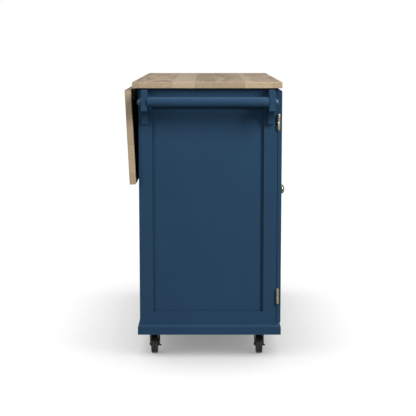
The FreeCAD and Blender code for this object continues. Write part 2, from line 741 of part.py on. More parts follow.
def make_stay_arm():
    """The left stay: a flat steel bar with a bored eye and a rounded tip."""
    x0 = -STAY_SPACING - STAY_WIDTH / 2
    tip_z = STAY_PIVOT_Z - STAY_LENGTH
    arm = block(x0, x0 + STAY_WIDTH, STAY_PIVOT_Y - STAY_THICK / 2, STAY_PIVOT_Y + STAY_THICK / 2,
                tip_z, STAY_PIVOT_Z)
    for z, radius in ((STAY_PIVOT_Z, STAY_EYE_R), (tip_z, STAY_TIP_R)):
        arm = arm.fuse(rod((x0, STAY_PIVOT_Y, z), (1, 0, 0), STAY_WIDTH, radius))
    bore = rod((x0, STAY_PIVOT_Y, STAY_PIVOT_Z), (1, 0, 0), STAY_WIDTH,
               STAY_PIN_R + RUNNING_FIT)
    return arm.cut(bore)


def make_stay_brackets():
    """The folded brackets on the back, each with two ears and a riveted pin."""
    half = STAY_WIDTH / 2 + STAY_SIDE_CLEARANCE
    foot = STAY_PIVOT_Z + STAY_EYE_R + STAY_PLATE_ABOVE_EYE
    plate = block(-STAY_PLATE_WIDTH / 2, STAY_PLATE_WIDTH / 2, BODY_BACK, BODY_BACK + STAY_EAR,
                  foot, foot + STAY_PLATE_HEIGHT)
    for x0 in (-half - STAY_EAR, half):
        ear = block(x0, x0 + STAY_EAR, BODY_BACK, BODY_BACK + STAY_EAR_REACH,
                    STAY_PIVOT_Z - STAY_EYE_R, foot + STAY_PLATE_HEIGHT / 2)
        plate = plate.fuse(ear)
    pin = rod((-half - STAY_EAR, STAY_PIVOT_Y, STAY_PIVOT_Z), (1, 0, 0),
              2 * (half + STAY_EAR), STAY_PIN_R)
    bracket = plate.fuse(pin)
    bracket.translate(Vector(-STAY_SPACING, 0, 0))
    return group([bracket, mirrored(bracket)])


# ---- casters ----

def make_caster_plate(x, y):
    """Top plate, upper race and kingpin of a caster, fixed under the cabinet."""
    plate = block(x - PLATE_LENGTH / 2, x + PLATE_LENGTH / 2, y - PLATE_WIDTH / 2,
                  y + PLATE_WIDTH / 2, CASTER_HEIGHT - PLATE_THICK, CASTER_HEIGHT)
    race_foot = FORK_CROWN_TOP + RACE_GAP
    race = rod((x, y, race_foot), (0, 0, 1), CASTER_HEIGHT - race_foot, RACE_R)
    pin_foot = FORK_CROWN_TOP - FORK_CROWN_THICK - RACE_GAP
    pin = rod((x, y, pin_foot), (0, 0, 1), CASTER_HEIGHT - pin_foot, KINGPIN_R)
    head = rod((x, y, pin_foot - KINGPIN_HEAD_THICK), (0, 0, 1), KINGPIN_HEAD_THICK, KINGPIN_HEAD_R)
    return plate.fuse(race).fuse(pin).fuse(head)


def make_caster_plates():
    return group([make_caster_plate(x, y) for _, x, y, _ in CASTERS])


def make_fork_arm(y0):
    """One side plate of the fork: wide at the crown, round at the axle."""
    top = FORK_CROWN_TOP - FORK_CROWN_THICK / 2
    outline = [(FORK_SHOULDER, top), (-FORK_SHOULDER, top), (-CASTER_TRAIL - FORK_FOOT_R, WHEEL_R),
               (-CASTER_TRAIL + FORK_FOOT_R, WHEEL_R), (FORK_SHOULDER, top - FORK_SHOULDER_DROP)]
    plate = prism([(x, 0, z) for x, z in outline], (0, y0, 0), (0, 1, 0), FORK_PLATE)
    end = rod((-CASTER_TRAIL, y0, WHEEL_R), (0, 1, 0), FORK_PLATE, FORK_FOOT_R)
    return plate.fuse(end)


def make_caster_fork(x, y, braked):
    """Crown, two arms and the riveted axle, with the brake's stud if it has one."""
    crown = rod((0, 0, FORK_CROWN_TOP - FORK_CROWN_THICK), (0, 0, 1), FORK_CROWN_THICK, FORK_CROWN_R)
    fork = crown.fuse(make_fork_arm(FORK_INNER)).fuse(make_fork_arm(-FORK_OUTER))
    reach = FORK_OUTER + RIVET_THICK
    axle = rod((-CASTER_TRAIL, -FORK_OUTER, WHEEL_R), (0, 1, 0), 2 * FORK_OUTER, AXLE_R)
    fork = fork.fuse(axle)
    for y0 in (-reach, FORK_OUTER):
        fork = fork.fuse(rod((-CASTER_TRAIL, y0, WHEEL_R), (0, 1, 0), RIVET_THICK, RIVET_R))
    fork = fork.cut(rod((0, 0, 0), (0, 0, 1), CASTER_HEIGHT, KINGPIN_R + RUNNING_FIT))
    if braked:
        stud_reach = BRAKE_GAP * 2 + BRAKE_THICK
        stud = rod((BRAKE_PIVOT_X, -FORK_OUTER, BRAKE_PIVOT_Z), (0, -1, 0), stud_reach, BRAKE_STUD_R)
        cap = rod((BRAKE_PIVOT_X, -FORK_OUTER - stud_reach, BRAKE_PIVOT_Z), (0, -1, 0),
                  BRAKE_STUD_HEAD, BRAKE_STUD_HEAD_R)
        fork = fork.fuse(stud).fuse(cap)
    fork.translate(Vector(x, y, 0))
    return fork


def make_wheel(x, y):
    """A solid wheel: rounded tread, dished sides and a hub bored for the axle."""
    half = WHEEL_WIDTH / 2
    web = half - WHEEL_WEB_INSET
    hub = HUB_WIDTH / 2
    bore = AXLE_R + RUNNING_FIT
    side = [(bore, hub), (HUB_R, hub), (HUB_R + HUB_TAPER, web), (WHEEL_WEB_R, web),
            (WHEEL_WEB_R + WHEEL_RIM_TAPER, half)]
    for step in range(WHEEL_ROUND_STEPS + 1):
        turn = math.radians(90 * step / WHEEL_ROUND_STEPS)
        side.append((WHEEL_R - WHEEL_ROUND + WHEEL_ROUND * math.sin(turn),
                     half - WHEEL_ROUND + WHEEL_ROUND * math.cos(turn)))
    profile = side + [(radius, -height) for radius, height in reversed(side)]
    return turned(profile, (x - CASTER_TRAIL, y, WHEEL_R), (0, 1, 0))


def make_brake_lever(x, y):
    """A pressed side lever on a stud of the fork, with a tab for the toe."""
    y0 = -FORK_OUTER - BRAKE_GAP - BRAKE_THICK
    eye = rod((BRAKE_PIVOT_X, y0, BRAKE_PIVOT_Z), (0, 1, 0), BRAKE_THICK, BRAKE_EYE_R)
    foot_x0 = BRAKE_PIVOT_X - BRAKE_FOOT_BEHIND
    foot_x1 = BRAKE_PIVOT_X + BRAKE_FOOT_AHEAD
    outline = [(BRAKE_PIVOT_X - BRAKE_EYE_R, BRAKE_PIVOT_Z), (foot_x0, BRAKE_FOOT_Z),
               (foot_x1, BRAKE_FOOT_Z), (BRAKE_PIVOT_X + BRAKE_EYE_R, BRAKE_PIVOT_Z)]
    blade = prism([(px, 0, pz) for px, pz in outline], (0, y0, 0), (0, 1, 0), BRAKE_THICK)
    tab = block(foot_x0, foot_x1, y0 - BRAKE_TAB_OUT, y0 + BRAKE_THICK,
                BRAKE_FOOT_Z - BRAKE_THICK, BRAKE_FOOT_Z)
    bore = rod((BRAKE_PIVOT_X, y0, BRAKE_PIVOT_Z), (0, 1, 0), BRAKE_THICK,
               BRAKE_STUD_R + RUNNING_FIT)
    lever = eye.fuse(blade).fuse(tab).cut(bore)
    lever.translate(Vector(x, y, 0))
    return lever


# ---- the whole cart ----

def make_nodes():
    """Every node's name and shape, in the building frame."""
    nodes = {
        "worktop": make_worktop(),
        "back_panel": make_back_panel(),
        "bottom_board": make_bottom_board(),
        "top_rails": make_top_rails(),
        "base_mouldings": make_base_mouldings(),
        "shelf_pins": make_shelf_pins(),
        "drawer_runners": make_drawer_runners(),
        "towel_bar": make_towel_bar(),
        "towel_bar_caps": make_towel_bar_caps(),
        "towel_brackets": make_towel_brackets(),
        "door_hinge_plates": make_door_hinge_plates(),
        "door_hinge_pins": make_door_hinge_pins(),
        "door_catches": make_door_catches(),
        "drop_leaf": make_drop_leaf(),
        "leaf_hinge_plates": make_leaf_hinge_plates(),
        "leaf_hinge_straps": make_leaf_hinge_straps(),
        "leaf_hinge_pins": make_leaf_hinge_pins(),
        "leaf_bumpers": make_leaf_bumpers(),
        "stay_brackets": make_stay_brackets(),
        "caster_plates": make_caster_plates(),
    }
    knob_x = -DOOR_FREE_EDGE - KNOB_FROM_EDGE
    handed = {
        "end_stiles": make_end_stiles(),
        "end_rails": make_end_rails(),
        "end_panel": make_end_panel(),
        "divider": make_divider(),
        "shelf": make_shelf(),
        "door_frame": make_door_frame(),
        "door_panel": make_door_panel(),
        "door_hinge_leaves": make_door_hinge_leaves(),
        "door_knob": make_knob(knob_x, DOOR_KNOB_HEIGHT),
        "stay_arm": make_stay_arm(),
    }
    for name, shape in handed.items():
        nodes[name + "_left"] = shape
        nodes[name + "_right"] = mirrored(shape)
    for name, foot, top in DRAWERS:
        nodes["drawer_front_" + name] = make_drawer_front(foot, top)
        nodes["drawer_box_" + name] = make_drawer_box(foot, top)
        nodes["drawer_knob_" + name] = make_knob(0.0, (foot + top) / 2)
    for name, x, y, braked in CASTERS:
        nodes["caster_fork_" + name] = make_caster_fork(x, y, braked)
        nodes["caster_wheel_" + name] = make_wheel(x, y)
        if braked:
            nodes["caster_brake_" + name] = make_brake_lever(x, y)
    return nodes


def leaf_outermost():
    """Y of the hanging leaf's outermost point, on the eased edge beside the hinges."""
    lean = math.radians(LEAF_LEAN)
    out = LEAF_KNUCKLE_R + TOP_THICK - TOP_ROUND
    down = LEAF_GAP / 2 + TOP_ROUND
    return LEAF_PIN_Y + out * math.cos(lean) - down * math.sin(lean) + TOP_ROUND


def origin():
    """The bottom centre of the box that holds the whole cart."""
    x_low = BAR_X - BAR_R
    y_low = FRONT_FACE - KNOB_LENGTH
    return Vector((x_low + TOP_LENGTH / 2) / 2, (y_low + leaf_outermost()) / 2, 0)


def place(shape):
    """Move a shape from the building frame to the cart's own frame."""
    moved = shape.copy()
    moved.translate(-origin())
    return moved


def main():
    os.makedirs("parts", exist_ok=True)
    for name, shape in make_nodes().items():
        place(shape).exportStep("parts/" + name + ".step")


main()
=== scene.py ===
import math

import bmesh
import bpy
from mathutils import Matrix, Vector


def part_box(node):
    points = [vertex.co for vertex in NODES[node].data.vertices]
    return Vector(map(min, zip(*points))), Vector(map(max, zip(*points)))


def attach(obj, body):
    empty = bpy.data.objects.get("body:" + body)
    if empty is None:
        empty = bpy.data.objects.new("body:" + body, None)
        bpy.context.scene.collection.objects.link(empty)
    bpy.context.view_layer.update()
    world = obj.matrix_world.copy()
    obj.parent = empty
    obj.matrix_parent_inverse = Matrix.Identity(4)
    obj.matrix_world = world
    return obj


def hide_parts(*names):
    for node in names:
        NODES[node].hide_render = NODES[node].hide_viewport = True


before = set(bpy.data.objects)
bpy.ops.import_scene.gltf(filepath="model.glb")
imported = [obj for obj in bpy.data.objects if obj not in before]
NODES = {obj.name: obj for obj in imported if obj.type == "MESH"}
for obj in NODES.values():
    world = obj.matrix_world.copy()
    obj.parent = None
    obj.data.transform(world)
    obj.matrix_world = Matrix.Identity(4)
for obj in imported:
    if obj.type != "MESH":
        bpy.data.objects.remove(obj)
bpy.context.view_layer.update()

# Kitchen island cart: finishes, eased edges and detailed hardware around the cabinet
# that the frame holds. Metres, floor at Z = 0, doors and drawers towards -Y, drop leaf
# towards +Y, towel bar on the -X end.

MM = 0.001

# ---- places read from the frame ----
TOP_LOW, TOP_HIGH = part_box("worktop")
STILE_LOW, STILE_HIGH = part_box("end_stiles_left")
BODY_MIDDLE_Y = (STILE_LOW.y + STILE_HIGH.y) / 2
BODY_MIDDLE_X = (TOP_LOW.x + TOP_HIGH.x) / 2

# ---- camera ----
CAMERA_DISTANCE = 3.817
CAMERA_HEIGHT = 1.0414
CAMERA_DOWN = 8.0
CAMERA_LENS = 102.2
CAMERA_SENSOR = 36.0
FAR_AWAY = 200.0

# ---- room and light ----
BACKDROP_WHITE = 1.0
ROOM_LIGHT = 0.33
FLOOR_TONE = (0.06, 0.06, 0.06, 1)
# Painted shadow on the floor: its glow runs from the first value under the cart to the second in
# the open.
FLOOR_REACH = 0.42
FLOOR_GLOW = (0.22, 1.0)
FLOOR_BOUNCE = 0.33
FLOOR_SIZE = 60.0
AIM_HEIGHT = 0.6
KEY_DIRECTION = (-1.0, -1.4, 1.05)
KEY_DISTANCE = 3.6
KEY_SIZE = (0.6, 2.0)
KEY_POWER = 172.0
FILL_DIRECTION = (-1.0, 1.4, 0.8)
FILL_POWER = 52.0
OVERHEAD_HEIGHT = 3.4
OVERHEAD_SIZE = (2.4, 2.4)
OVERHEAD_POWER = 42.0

# ---- hardware sizes, in millimetres as on the drawings ----
DRAWER_BOARD = 12.0
BRACKET_THICK = 19.5
HINGE_BARREL_R = 4.3
HINGE_SHEET = 0.6
HINGE_LEAF = 15.7
HINGE_JOINT = 0.4
LEAF_SHEET = 1.5
LEAF_LEAN = 2.63
STAY_EYE_R = 4.4
STAY_TIP_R = 4.0
STAY_EAR = 2.0
STAY_PIVOT_OUT = 5.0
EAR_IN = 4.6
CASTER_PLATE = 2.5
CASTER_TRAIL = 22.0
WHEEL_WIDTH = 22.5
FORK_INNER = 12.2
FORK_SHEET = 2.5
BRAKE_PIVOT_X = 4.0
BRAKE_PIVOT_Z = 68.0
BRAKE_GAP = 0.4
BRAKE_SHEET = 2.0
BRAKE_TAB = 5.0
BRAKE_TAB_FOOT = 20.0
BRAKE_TAB_TOP = 21.8
BRAKE_RIB_TOP = 22.3
CROWN_FOOT = 81.0
SADDLE_FOOT = 79.6
SADDLE_TOP = 82.4

# ---- edges, in millimetres and degrees ----
BOARD_EASE = 0.7
INSIDE_EASE = 0.5
WOOD_EASE = 0.8
RUNNER_EASE = 0.4
PLATE_EASE = 0.25
EASED_ANGLE = 40.0
SMOOTH_ANGLE = 38.0
SAME_CORNER = 0.00001
SAME_SOLID = 0.00002


# ---- Shader building ----

def feed(tree, socket, value):
    """Give a socket a plain value, or link it to another socket."""
    if isinstance(value, bpy.types.NodeSocket):
        tree.links.new(value, socket)
    else:
        socket.default_value = value


def node(tree, kind, inputs=None, **settings):
    """Add one node; inputs are its socket values by name or number."""
    made = tree.nodes.new(kind)
    for key, value in settings.items():
        setattr(made, key, value)
    for key, value in (inputs or {}).items():
        feed(tree, made.inputs[key], value)
    return made


def math_node(tree, operation, a, b=0.0, c=0.0, clamp=False):
    """One arithmetic step and its result."""
    return node(tree, "ShaderNodeMath", {0: a, 1: b, 2: c}, operation=operation,
                use_clamp=clamp).outputs[0]


def rescale(tree, value, from_low, from_high, to_low=0.0, to_high=1.0):
    """Map a value from one range to another, held between the ends."""
    made = node(tree, "ShaderNodeMapRange", {"Value": value, "From Min": from_low,
                                             "From Max": from_high, "To Min": to_low,
                                             "To Max": to_high})
    return made.outputs["Result"]


def mix_colour(tree, factor, a, b, blend="MIX"):
    """Blend two colours by a factor."""
    made = node(tree, "ShaderNodeMix", {"Factor": factor, "A": a, "B": b}, data_type="RGBA",
                blend_type=blend)
    return made.outputs["Result"]


def new_group(name, inputs, outputs):
    """A shader node group with named sockets: inputs are (name, type, default)."""
    tree = bpy.data.node_groups.new(name, "ShaderNodeTree")
    for label, kind, default in inputs:
        socket = tree.interface.new_socket(name=label, in_out="INPUT", socket_type=kind)
        if default is not None:
            socket.default_value = default
    for label, kind in outputs:
        tree.interface.new_socket(name=label, in_out="OUTPUT", socket_type=kind)
    taken = tree.nodes.new("NodeGroupInput").outputs
    given = tree.nodes.new("NodeGroupOutput").inputs
    return tree, taken, given


def use_group(tree, group, inputs):
    """Place a group in a material with its own values and return its outputs."""
    made = node(tree, "ShaderNodeGroup", node_tree=group)
    for label, value in inputs.items():
        feed(tree, made.inputs[label], value)
    return made.outputs


def stretched(tree, position, scale):
    """A position scaled differently along each direction."""
    made = node(tree, "ShaderNodeMapping", {"Vector": position, "Scale": scale},
                vector_type="POINT")
    return made.outputs["Vector"]


def noise(tree, position, scale=1.0, detail=2.0, rough=0.5):
    """Soft noise between 0 and 1."""
    made = node(tree, "ShaderNodeTexNoise", {"Vector": position, "Scale": scale,
                                             "Detail": detail, "Roughness": rough})
    return made.outputs["Fac"]


FLOAT = "NodeSocketFloat"
VECTOR = "NodeSocketVector"


def make_solid_wood_group():
    """Boards glued side by side, each with its own growth rings about its own pith.

    Position runs along the grain in X, across the boards in Y and through them in Z, so
    the same rings show as stripes on the faces and as arcs on the end grain."""
    tree, taken, given = new_group(
        "solid_wood_boards",
        [("Position", VECTOR, None), ("Board Width", FLOAT, 0.08), ("First Board", FLOAT, 0.0),
         ("Ring Spacing", FLOAT, 0.004), ("Ring Wander", FLOAT, 0.012)],
        [("Board Tone", FLOAT), ("Board Hue", FLOAT), ("Rings", FLOAT), ("Fibres", FLOAT),
         ("Pores", FLOAT), ("Seam", FLOAT)])
    position = taken["Position"]
    parts = node(tree, "ShaderNodeSeparateXYZ", {0: position}).outputs
    across = math_node(tree, "DIVIDE", parts["Y"], taken["Board Width"])
    across = math_node(tree, "ADD", across, taken["First Board"])
    board = node(tree, "ShaderNodeTexVoronoi", {"W": across, "Scale": 1.0, "Randomness": 0.7},
                 voronoi_dimensions="1D", feature="F1").outputs
    edge = node(tree, "ShaderNodeTexVoronoi", {"W": across, "Scale": 1.0, "Randomness": 0.7},
                voronoi_dimensions="1D", feature="DISTANCE_TO_EDGE").outputs["Distance"]
    edge = math_node(tree, "MULTIPLY", edge, taken["Board Width"])
    feed(tree, given["Seam"], rescale(tree, edge, 0.0001, 0.0007, 1.0, 0.0))
    chance = node(tree, "ShaderNodeSeparateColor", {0: board["Color"]}).outputs
    feed(tree, given["Board Tone"], chance["Red"])
    feed(tree, given["Board Hue"], chance["Green"])
    from_middle = math_node(tree, "SUBTRACT", across, board["W"])
    from_middle = math_node(tree, "MULTIPLY", from_middle, taken["Board Width"])
    pith_side = rescale(tree, chance["Blue"], 0, 1, -0.06, 0.06)
    pith_depth = rescale(tree, chance["Green"], 0, 1, 0.03, 0.13)
    side = math_node(tree, "ADD", from_middle, pith_side)
    depth = math_node(tree, "ADD", parts["Z"], pith_depth)
    squares = math_node(tree, "ADD", math_node(tree, "MULTIPLY", side, side),
                        math_node(tree, "MULTIPLY", depth, depth))
    radius = math_node(tree, "SQRT", squares)
    jump = math_node(tree, "MULTIPLY", chance["Red"], 9.0)
    shift = node(tree, "ShaderNodeCombineXYZ", {"X": jump})
    moved = node(tree, "ShaderNodeVectorMath", {0: position, 1: shift.outputs[0]}, operation="ADD")
    wander = noise(tree, stretched(tree, moved.outputs[0], (1.6, 9.0, 9.0)), detail=2.5)
    wander = math_node(tree, "MULTIPLY", math_node(tree, "SUBTRACT", wander, 0.5),
                       taken["Ring Wander"])
    turns = math_node(tree, "DIVIDE", math_node(tree, "ADD", radius, wander), taken["Ring Spacing"])
    turns = math_node(tree, "FRACT", turns)
    late = rescale(tree, turns, 0.25, 0.93, 0.0, 1.0)
    feed(tree, given["Rings"], math_node(tree, "MULTIPLY", late,
                                         rescale(tree, turns, 0.93, 1.0, 1.0, 0.0)))
    fibres = noise(tree, stretched(tree, moved.outputs[0], (9.0, 420.0, 420.0)), detail=4.0,
                   rough=0.65)
    feed(tree, given["Fibres"], fibres)
    pores = noise(tree, stretched(tree, moved.outputs[0], (45.0, 1500.0, 1500.0)), detail=1.0)
    feed(tree, given["Pores"], rescale(tree, pores, 0.6, 0.72))
    return tree


def make_rolled_paint_group():
    """The fine orange peel and faint roller marks of a sprayed and rolled coat."""
    tree, taken, given = new_group(
        "rolled_paint",
        [("Position", VECTOR, None), ("Peel Scale", FLOAT, 420.0), ("Roughness", FLOAT, 0.4)],
        [("Peel", FLOAT), ("Cloud", FLOAT), ("Roughness", FLOAT)])
    peel = noise(tree, taken["Position"], taken["Peel Scale"], detail=2.0)
    nap = noise(tree, stretched(tree, taken["Position"], (60.0, 60.0, 900.0)), detail=2.0)
    feed(tree, given["Peel"], math_node(tree, "ADD", peel, math_node(tree, "MULTIPLY", nap, 0.35)))
    cloud = noise(tree, taken["Position"], 5.0, detail=3.0, rough=0.6)
    feed(tree, given["Cloud"], cloud)
    swing = rescale(tree, cloud, 0.3, 0.7, -0.05, 0.05)
    feed(tree, given["Roughness"], math_node(tree, "ADD", taken["Roughness"], swing))
    return tree


def make_rubbed_edges_group():
    """Where outside edges get rubbed: 1 on an edge, broken up by noise."""
    tree, taken, given = new_group(
        "rubbed_edges",
        [("Position", VECTOR, None), ("Radius", FLOAT, 0.0012), ("Break Up", FLOAT, 180.0)],
        [("Mask", FLOAT)])
    smooth = node(tree, "ShaderNodeBevel", {"Radius": taken["Radius"]}, samples=4).outputs[0]
    flat = node(tree, "ShaderNodeNewGeometry").outputs["Normal"]
    same = node(tree, "ShaderNodeVectorMath", {0: smooth, 1: flat}, operation="DOT_PRODUCT")
    edge = rescale(tree, same.outputs["Value"], 0.995, 0.88)
    chips = rescale(tree, noise(tree, taken["Position"], taken["Break Up"], detail=4.0), 0.42, 0.62)
    feed(tree, given["Mask"], math_node(tree, "MULTIPLY", edge, chips))
    return tree


def make_recess_shade_and_tarnish_group():
    """Darkening in corners, seams and recesses, read from occlusion: painted shade on the paint,
    tarnish in the hollows of metal.
    """
    tree, taken, given = new_group(
        "recess_shade_and_tarnish",
        [("Position", VECTOR, None), ("Reach", FLOAT, 0.006), ("Patches", FLOAT, 60.0)],
        [("Mask", FLOAT)])
    # Less open sky gives more painted shade on paint and more tarnish on metal.
    open_sky = node(tree, "ShaderNodeAmbientOcclusion", {"Distance": taken["Reach"]},
                    samples=6).outputs["AO"]
    corner = rescale(tree, open_sky, 0.95, 0.45)
    patches = rescale(tree, noise(tree, taken["Position"], taken["Patches"], detail=3.0), 0.3, 0.7,
                      0.35, 1.0)
    feed(tree, given["Mask"], math_node(tree, "MULTIPLY", corner, patches))
    return tree


def make_handled_metal_group():
    """Brush lines and finger smudges on metal."""
    tree, taken, given = new_group(
        "handled_metal",
        [("Position", VECTOR, None), ("Line Scale", VECTOR, (1600.0, 1600.0, 60.0)),
         ("Roughness", FLOAT, 0.3)],
        [("Lines", FLOAT), ("Smudge", FLOAT), ("Roughness", FLOAT)])
    made = node(tree, "ShaderNodeVectorMath", {0: taken["Position"], 1: taken["Line Scale"]},
                operation="MULTIPLY")
    feed(tree, given["Lines"], noise(tree, made.outputs[0], detail=2.0))
    smudge = noise(tree, taken["Position"], 90.0, detail=4.0, rough=0.6)
    feed(tree, given["Smudge"], smudge)
    swing = rescale(tree, smudge, 0.3, 0.7, -0.07, 0.09)
    feed(tree, given["Roughness"], math_node(tree, "ADD", taken["Roughness"], swing))
    return tree


SOLID_WOOD = make_solid_wood_group()
ROLLED_PAINT = make_rolled_paint_group()
RUBBED_EDGES = make_rubbed_edges_group()
RECESS_SHADE_AND_TARNISH = make_recess_shade_and_tarnish_group()
HANDLED_METAL = make_handled_metal_group()


# ---- Materials ----

def start_material(name):
    """A new material: its node tree, its shader and the piece's own coordinates."""
    material = bpy.data.materials.new(name)
    material.use_nodes = True
    tree = material.node_tree
    shader = next(n for n in tree.nodes if n.type == "BSDF_PRINCIPLED")
    position = node(tree, "ShaderNodeTexCoord").outputs["Object"]
    return material, tree, shader, position


def raise_surface(tree, shader, height, distance):
    """Drive the shader's normal with a height, in metres of relief."""
    bump = node(tree, "ShaderNodeBump", {"Height": height, "Distance": distance, "Strength": 1.0})
    feed(tree, shader.inputs["Normal"], bump.outputs[0])


def tinted(colour, factor, lift=0.0):
    """A lighter or darker version of a colour."""
    return tuple(min(1.0, factor * part + lift) for part in colour[:3]) + (1,)


def shared(tree, mask, share):
    """A part of a mask."""
    return math_node(tree, "MULTIPLY", mask, share)


def make_paint(name, colour, roughness, specular):
    """Satin paint: a little peel, thin on the edges, with painted shade in the corners."""
    material, tree, shader, position = start_material(name)
    coat = use_group(tree, ROLLED_PAINT, {"Position": position, "Roughness": roughness})
    edges = use_group(tree, RUBBED_EDGES, {"Position": position, "Radius": 0.001})
    shade_and_tarnish = use_group(tree, RECESS_SHADE_AND_TARNISH, {"Position": position, "Reach": 0.01})
    base = mix_colour(tree, rescale(tree, coat["Cloud"], 0.3, 0.7), tinted(colour, 0.96),
                      tinted(colour, 1.03))
    # Painted shade: the paint turns darker in corners, seams, recesses and where other parts come
    # close.
    base = mix_colour(tree, shared(tree, shade_and_tarnish["Mask"], 0.3), base, tinted(colour, 0.72))
    base = mix_colour(tree, shared(tree, edges["Mask"], 0.5), base, tinted(colour, 1.5, 0.01))
    feed(tree, shader.inputs["Base Color"], base)
    feed(tree, shader.inputs["Roughness"], coat["Roughness"])
    shader.inputs["Specular IOR Level"].default_value = specular
    raise_surface(tree, shader, coat["Peel"], 0.00004)
    return material


QUARTER = math.radians(90)
# Painted light: the end faces of the boards are made lighter than the long faces, as if more light
# fell on them.
END_FACE_PAINTED_LIGHT = (1.38, 1.37, 1.33, 1)


def make_wood(name, turn, light, dark, grey, board_width, first_board, relief=1.0):
    """Solid boards under a matt finish, their end faces painted lighter as if better lit; turn lays
    the grain along the piece.
    """
    material, tree, shader, position = start_material(name)
    laid = node(tree, "ShaderNodeMapping", {"Vector": position, "Rotation": turn},
                vector_type="POINT").outputs["Vector"]
    wood = use_group(tree, SOLID_WOOD, {"Position": laid, "Board Width": board_width,
                                        "First Board": first_board})
    edges = use_group(tree, RUBBED_EDGES, {"Position": position, "Radius": 0.0015})
    normal = node(tree, "ShaderNodeMapping", {
        "Vector": node(tree, "ShaderNodeTexCoord").outputs["Normal"], "Rotation": turn},
        vector_type="POINT").outputs["Vector"]
    facing = node(tree, "ShaderNodeSeparateXYZ", {0: normal}).outputs["X"]
    lit_end_faces = rescale(tree, math_node(tree, "ABSOLUTE", facing), 0.6, 0.8)
    tone = rescale(tree, wood["Board Tone"], 0, 1, 0.0, 0.42)
    figure = shared(tree, wood["Rings"], 0.5)
    streak = rescale(tree, wood["Fibres"], 0.34, 0.66, -0.26, 0.36)
    mark = math_node(tree, "ADD", math_node(tree, "ADD", tone, figure), streak, clamp=True)
    base = mix_colour(tree, mark, light, dark)
    base = mix_colour(tree, rescale(tree, wood["Board Hue"], 0.3, 1.0, 0.0, 0.55), base, grey)
    base = mix_colour(tree, shared(tree, wood["Pores"], 0.35), base, tinted(dark, 0.6))
    # Painted light on the end faces.
    base = mix_colour(tree, lit_end_faces, base, END_FACE_PAINTED_LIGHT, "MULTIPLY")
    base = mix_colour(tree, shared(tree, edges["Mask"], 0.35), base, tinted(light, 1.38))
    base = mix_colour(tree, shared(tree, wood["Seam"], 0.55), base, tinted(dark, 0.45))
    feed(tree, shader.inputs["Base Color"], base)
    rough = rescale(tree, wood["Fibres"], 0.3, 0.7, 0.5, 0.66)
    feed(tree, shader.inputs["Roughness"], rough)
    shader.inputs["Specular IOR Level"].default_value = 0.3
    hollows = math_node(tree, "ADD", wood["Seam"], shared(tree, wood["Pores"], 0.5))
    height = math_node(tree, "SUBTRACT", shared(tree, wood["Fibres"], 0.5), hollows)
    raise_surface(tree, shader, height, 0.00016 * relief)
    return material


def make_metal(name, bright, tarnish, roughness, tarnish_reach=0.004):
    """Plated or solid metal with brush lines, smudges and tarnish in its recesses."""
    material, tree, shader, position = start_material(name)
    hand = use_group(tree, HANDLED_METAL, {"Position": position, "Roughness": roughness})
    shade_and_tarnish = use_group(tree, RECESS_SHADE_AND_TARNISH, {"Position": position, "Reach": tarnish_reach,
                                          "Patches": 240.0})
    edges = use_group(tree, RUBBED_EDGES, {"Position": position, "Radius": 0.0006,
                                           "Break Up": 700.0})
    cloud = rescale(tree, hand["Smudge"], 0.35, 0.75, 0.0, 0.35)
    base = mix_colour(tree, cloud, bright, tarnish)
    base = mix_colour(tree, shade_and_tarnish["Mask"], base, tarnish)
    base = mix_colour(tree, shared(tree, edges["Mask"], 0.6), base, tinted(bright, 1.25))
    feed(tree, shader.inputs["Base Color"], base)
    feed(tree, shader.inputs["Roughness"], hand["Roughness"])
    shader.inputs["Metallic"].default_value = 1.0
    raise_surface(tree, shader, hand["Lines"], 0.00002)
    return material


def make_moulded(name, colour, roughness, grain=700.0, specular=0.4):
    """Moulded rubber or plastic with a fine grain and scuffs."""
    material, tree, shader, position = start_material(name)
    edges = use_group(tree, RUBBED_EDGES, {"Position": position, "Radius": 0.0008,
                                           "Break Up": 320.0})
    scuffs = noise(tree, position, 55.0, detail=5.0, rough=0.7)
    scuffed = tinted(colour, 1.9, 0.012)
    base = mix_colour(tree, rescale(tree, scuffs, 0.52, 0.78, 0.0, 0.6), colour, scuffed)
    base = mix_colour(tree, shared(tree, edges["Mask"], 0.5), base, scuffed)
    feed(tree, shader.inputs["Base Color"], base)
    feed(tree, shader.inputs["Roughness"], rescale(tree, scuffs, 0.3, 0.7, roughness - 0.06,
                                                   roughness + 0.12))
    shader.inputs["Specular IOR Level"].default_value = specular
    raise_surface(tree, shader, noise(tree, position, grain, detail=2.0), 0.00006)
    return material


NAVY_COLOUR = (0.0165, 0.0475, 0.092, 1)
PINE_COLOURS = ((0.66, 0.50, 0.31, 1), (0.50, 0.33, 0.17, 1), (0.60, 0.46, 0.30, 1))
NAVY = make_paint("navy_satin_paint", NAVY_COLOUR, 0.5, 0.1)
NAVY_INSIDE = make_paint("navy_inside_paint", (0.0175, 0.05, 0.094, 1), 0.6, 0.1)
TOP_WOOD = make_wood("weathered_top_boards", (0, 0, 0), (0.38, 0.295, 0.20, 1),
                     (0.145, 0.101, 0.062, 1), (0.27, 0.22, 0.163, 1), 0.083, 3.3)
LEAF_WOOD = make_wood("weathered_leaf_boards", (-QUARTER, 0, 0), (0.375, 0.288, 0.192, 1),
                      (0.145, 0.102, 0.062, 1), (0.26, 0.207, 0.147, 1), 0.09, 7.1)
PINE_X = make_wood("sealed_pine_across", (QUARTER, 0, 0), *PINE_COLOURS, 0.14, 1.2, 0.6)
PINE_Y = make_wood("sealed_pine_deep", (0, QUARTER, QUARTER), *PINE_COLOURS, 0.14, 4.6, 0.6)
KNOB_BRASS = make_metal("satin_knob_brass", (0.50, 0.47, 0.27, 1), (0.12, 0.105, 0.04, 1), 0.24)
HINGE_BRASS = make_metal("bright_hinge_brass", (0.86, 0.78, 0.50, 1), (0.30, 0.24, 0.10, 1), 0.22)
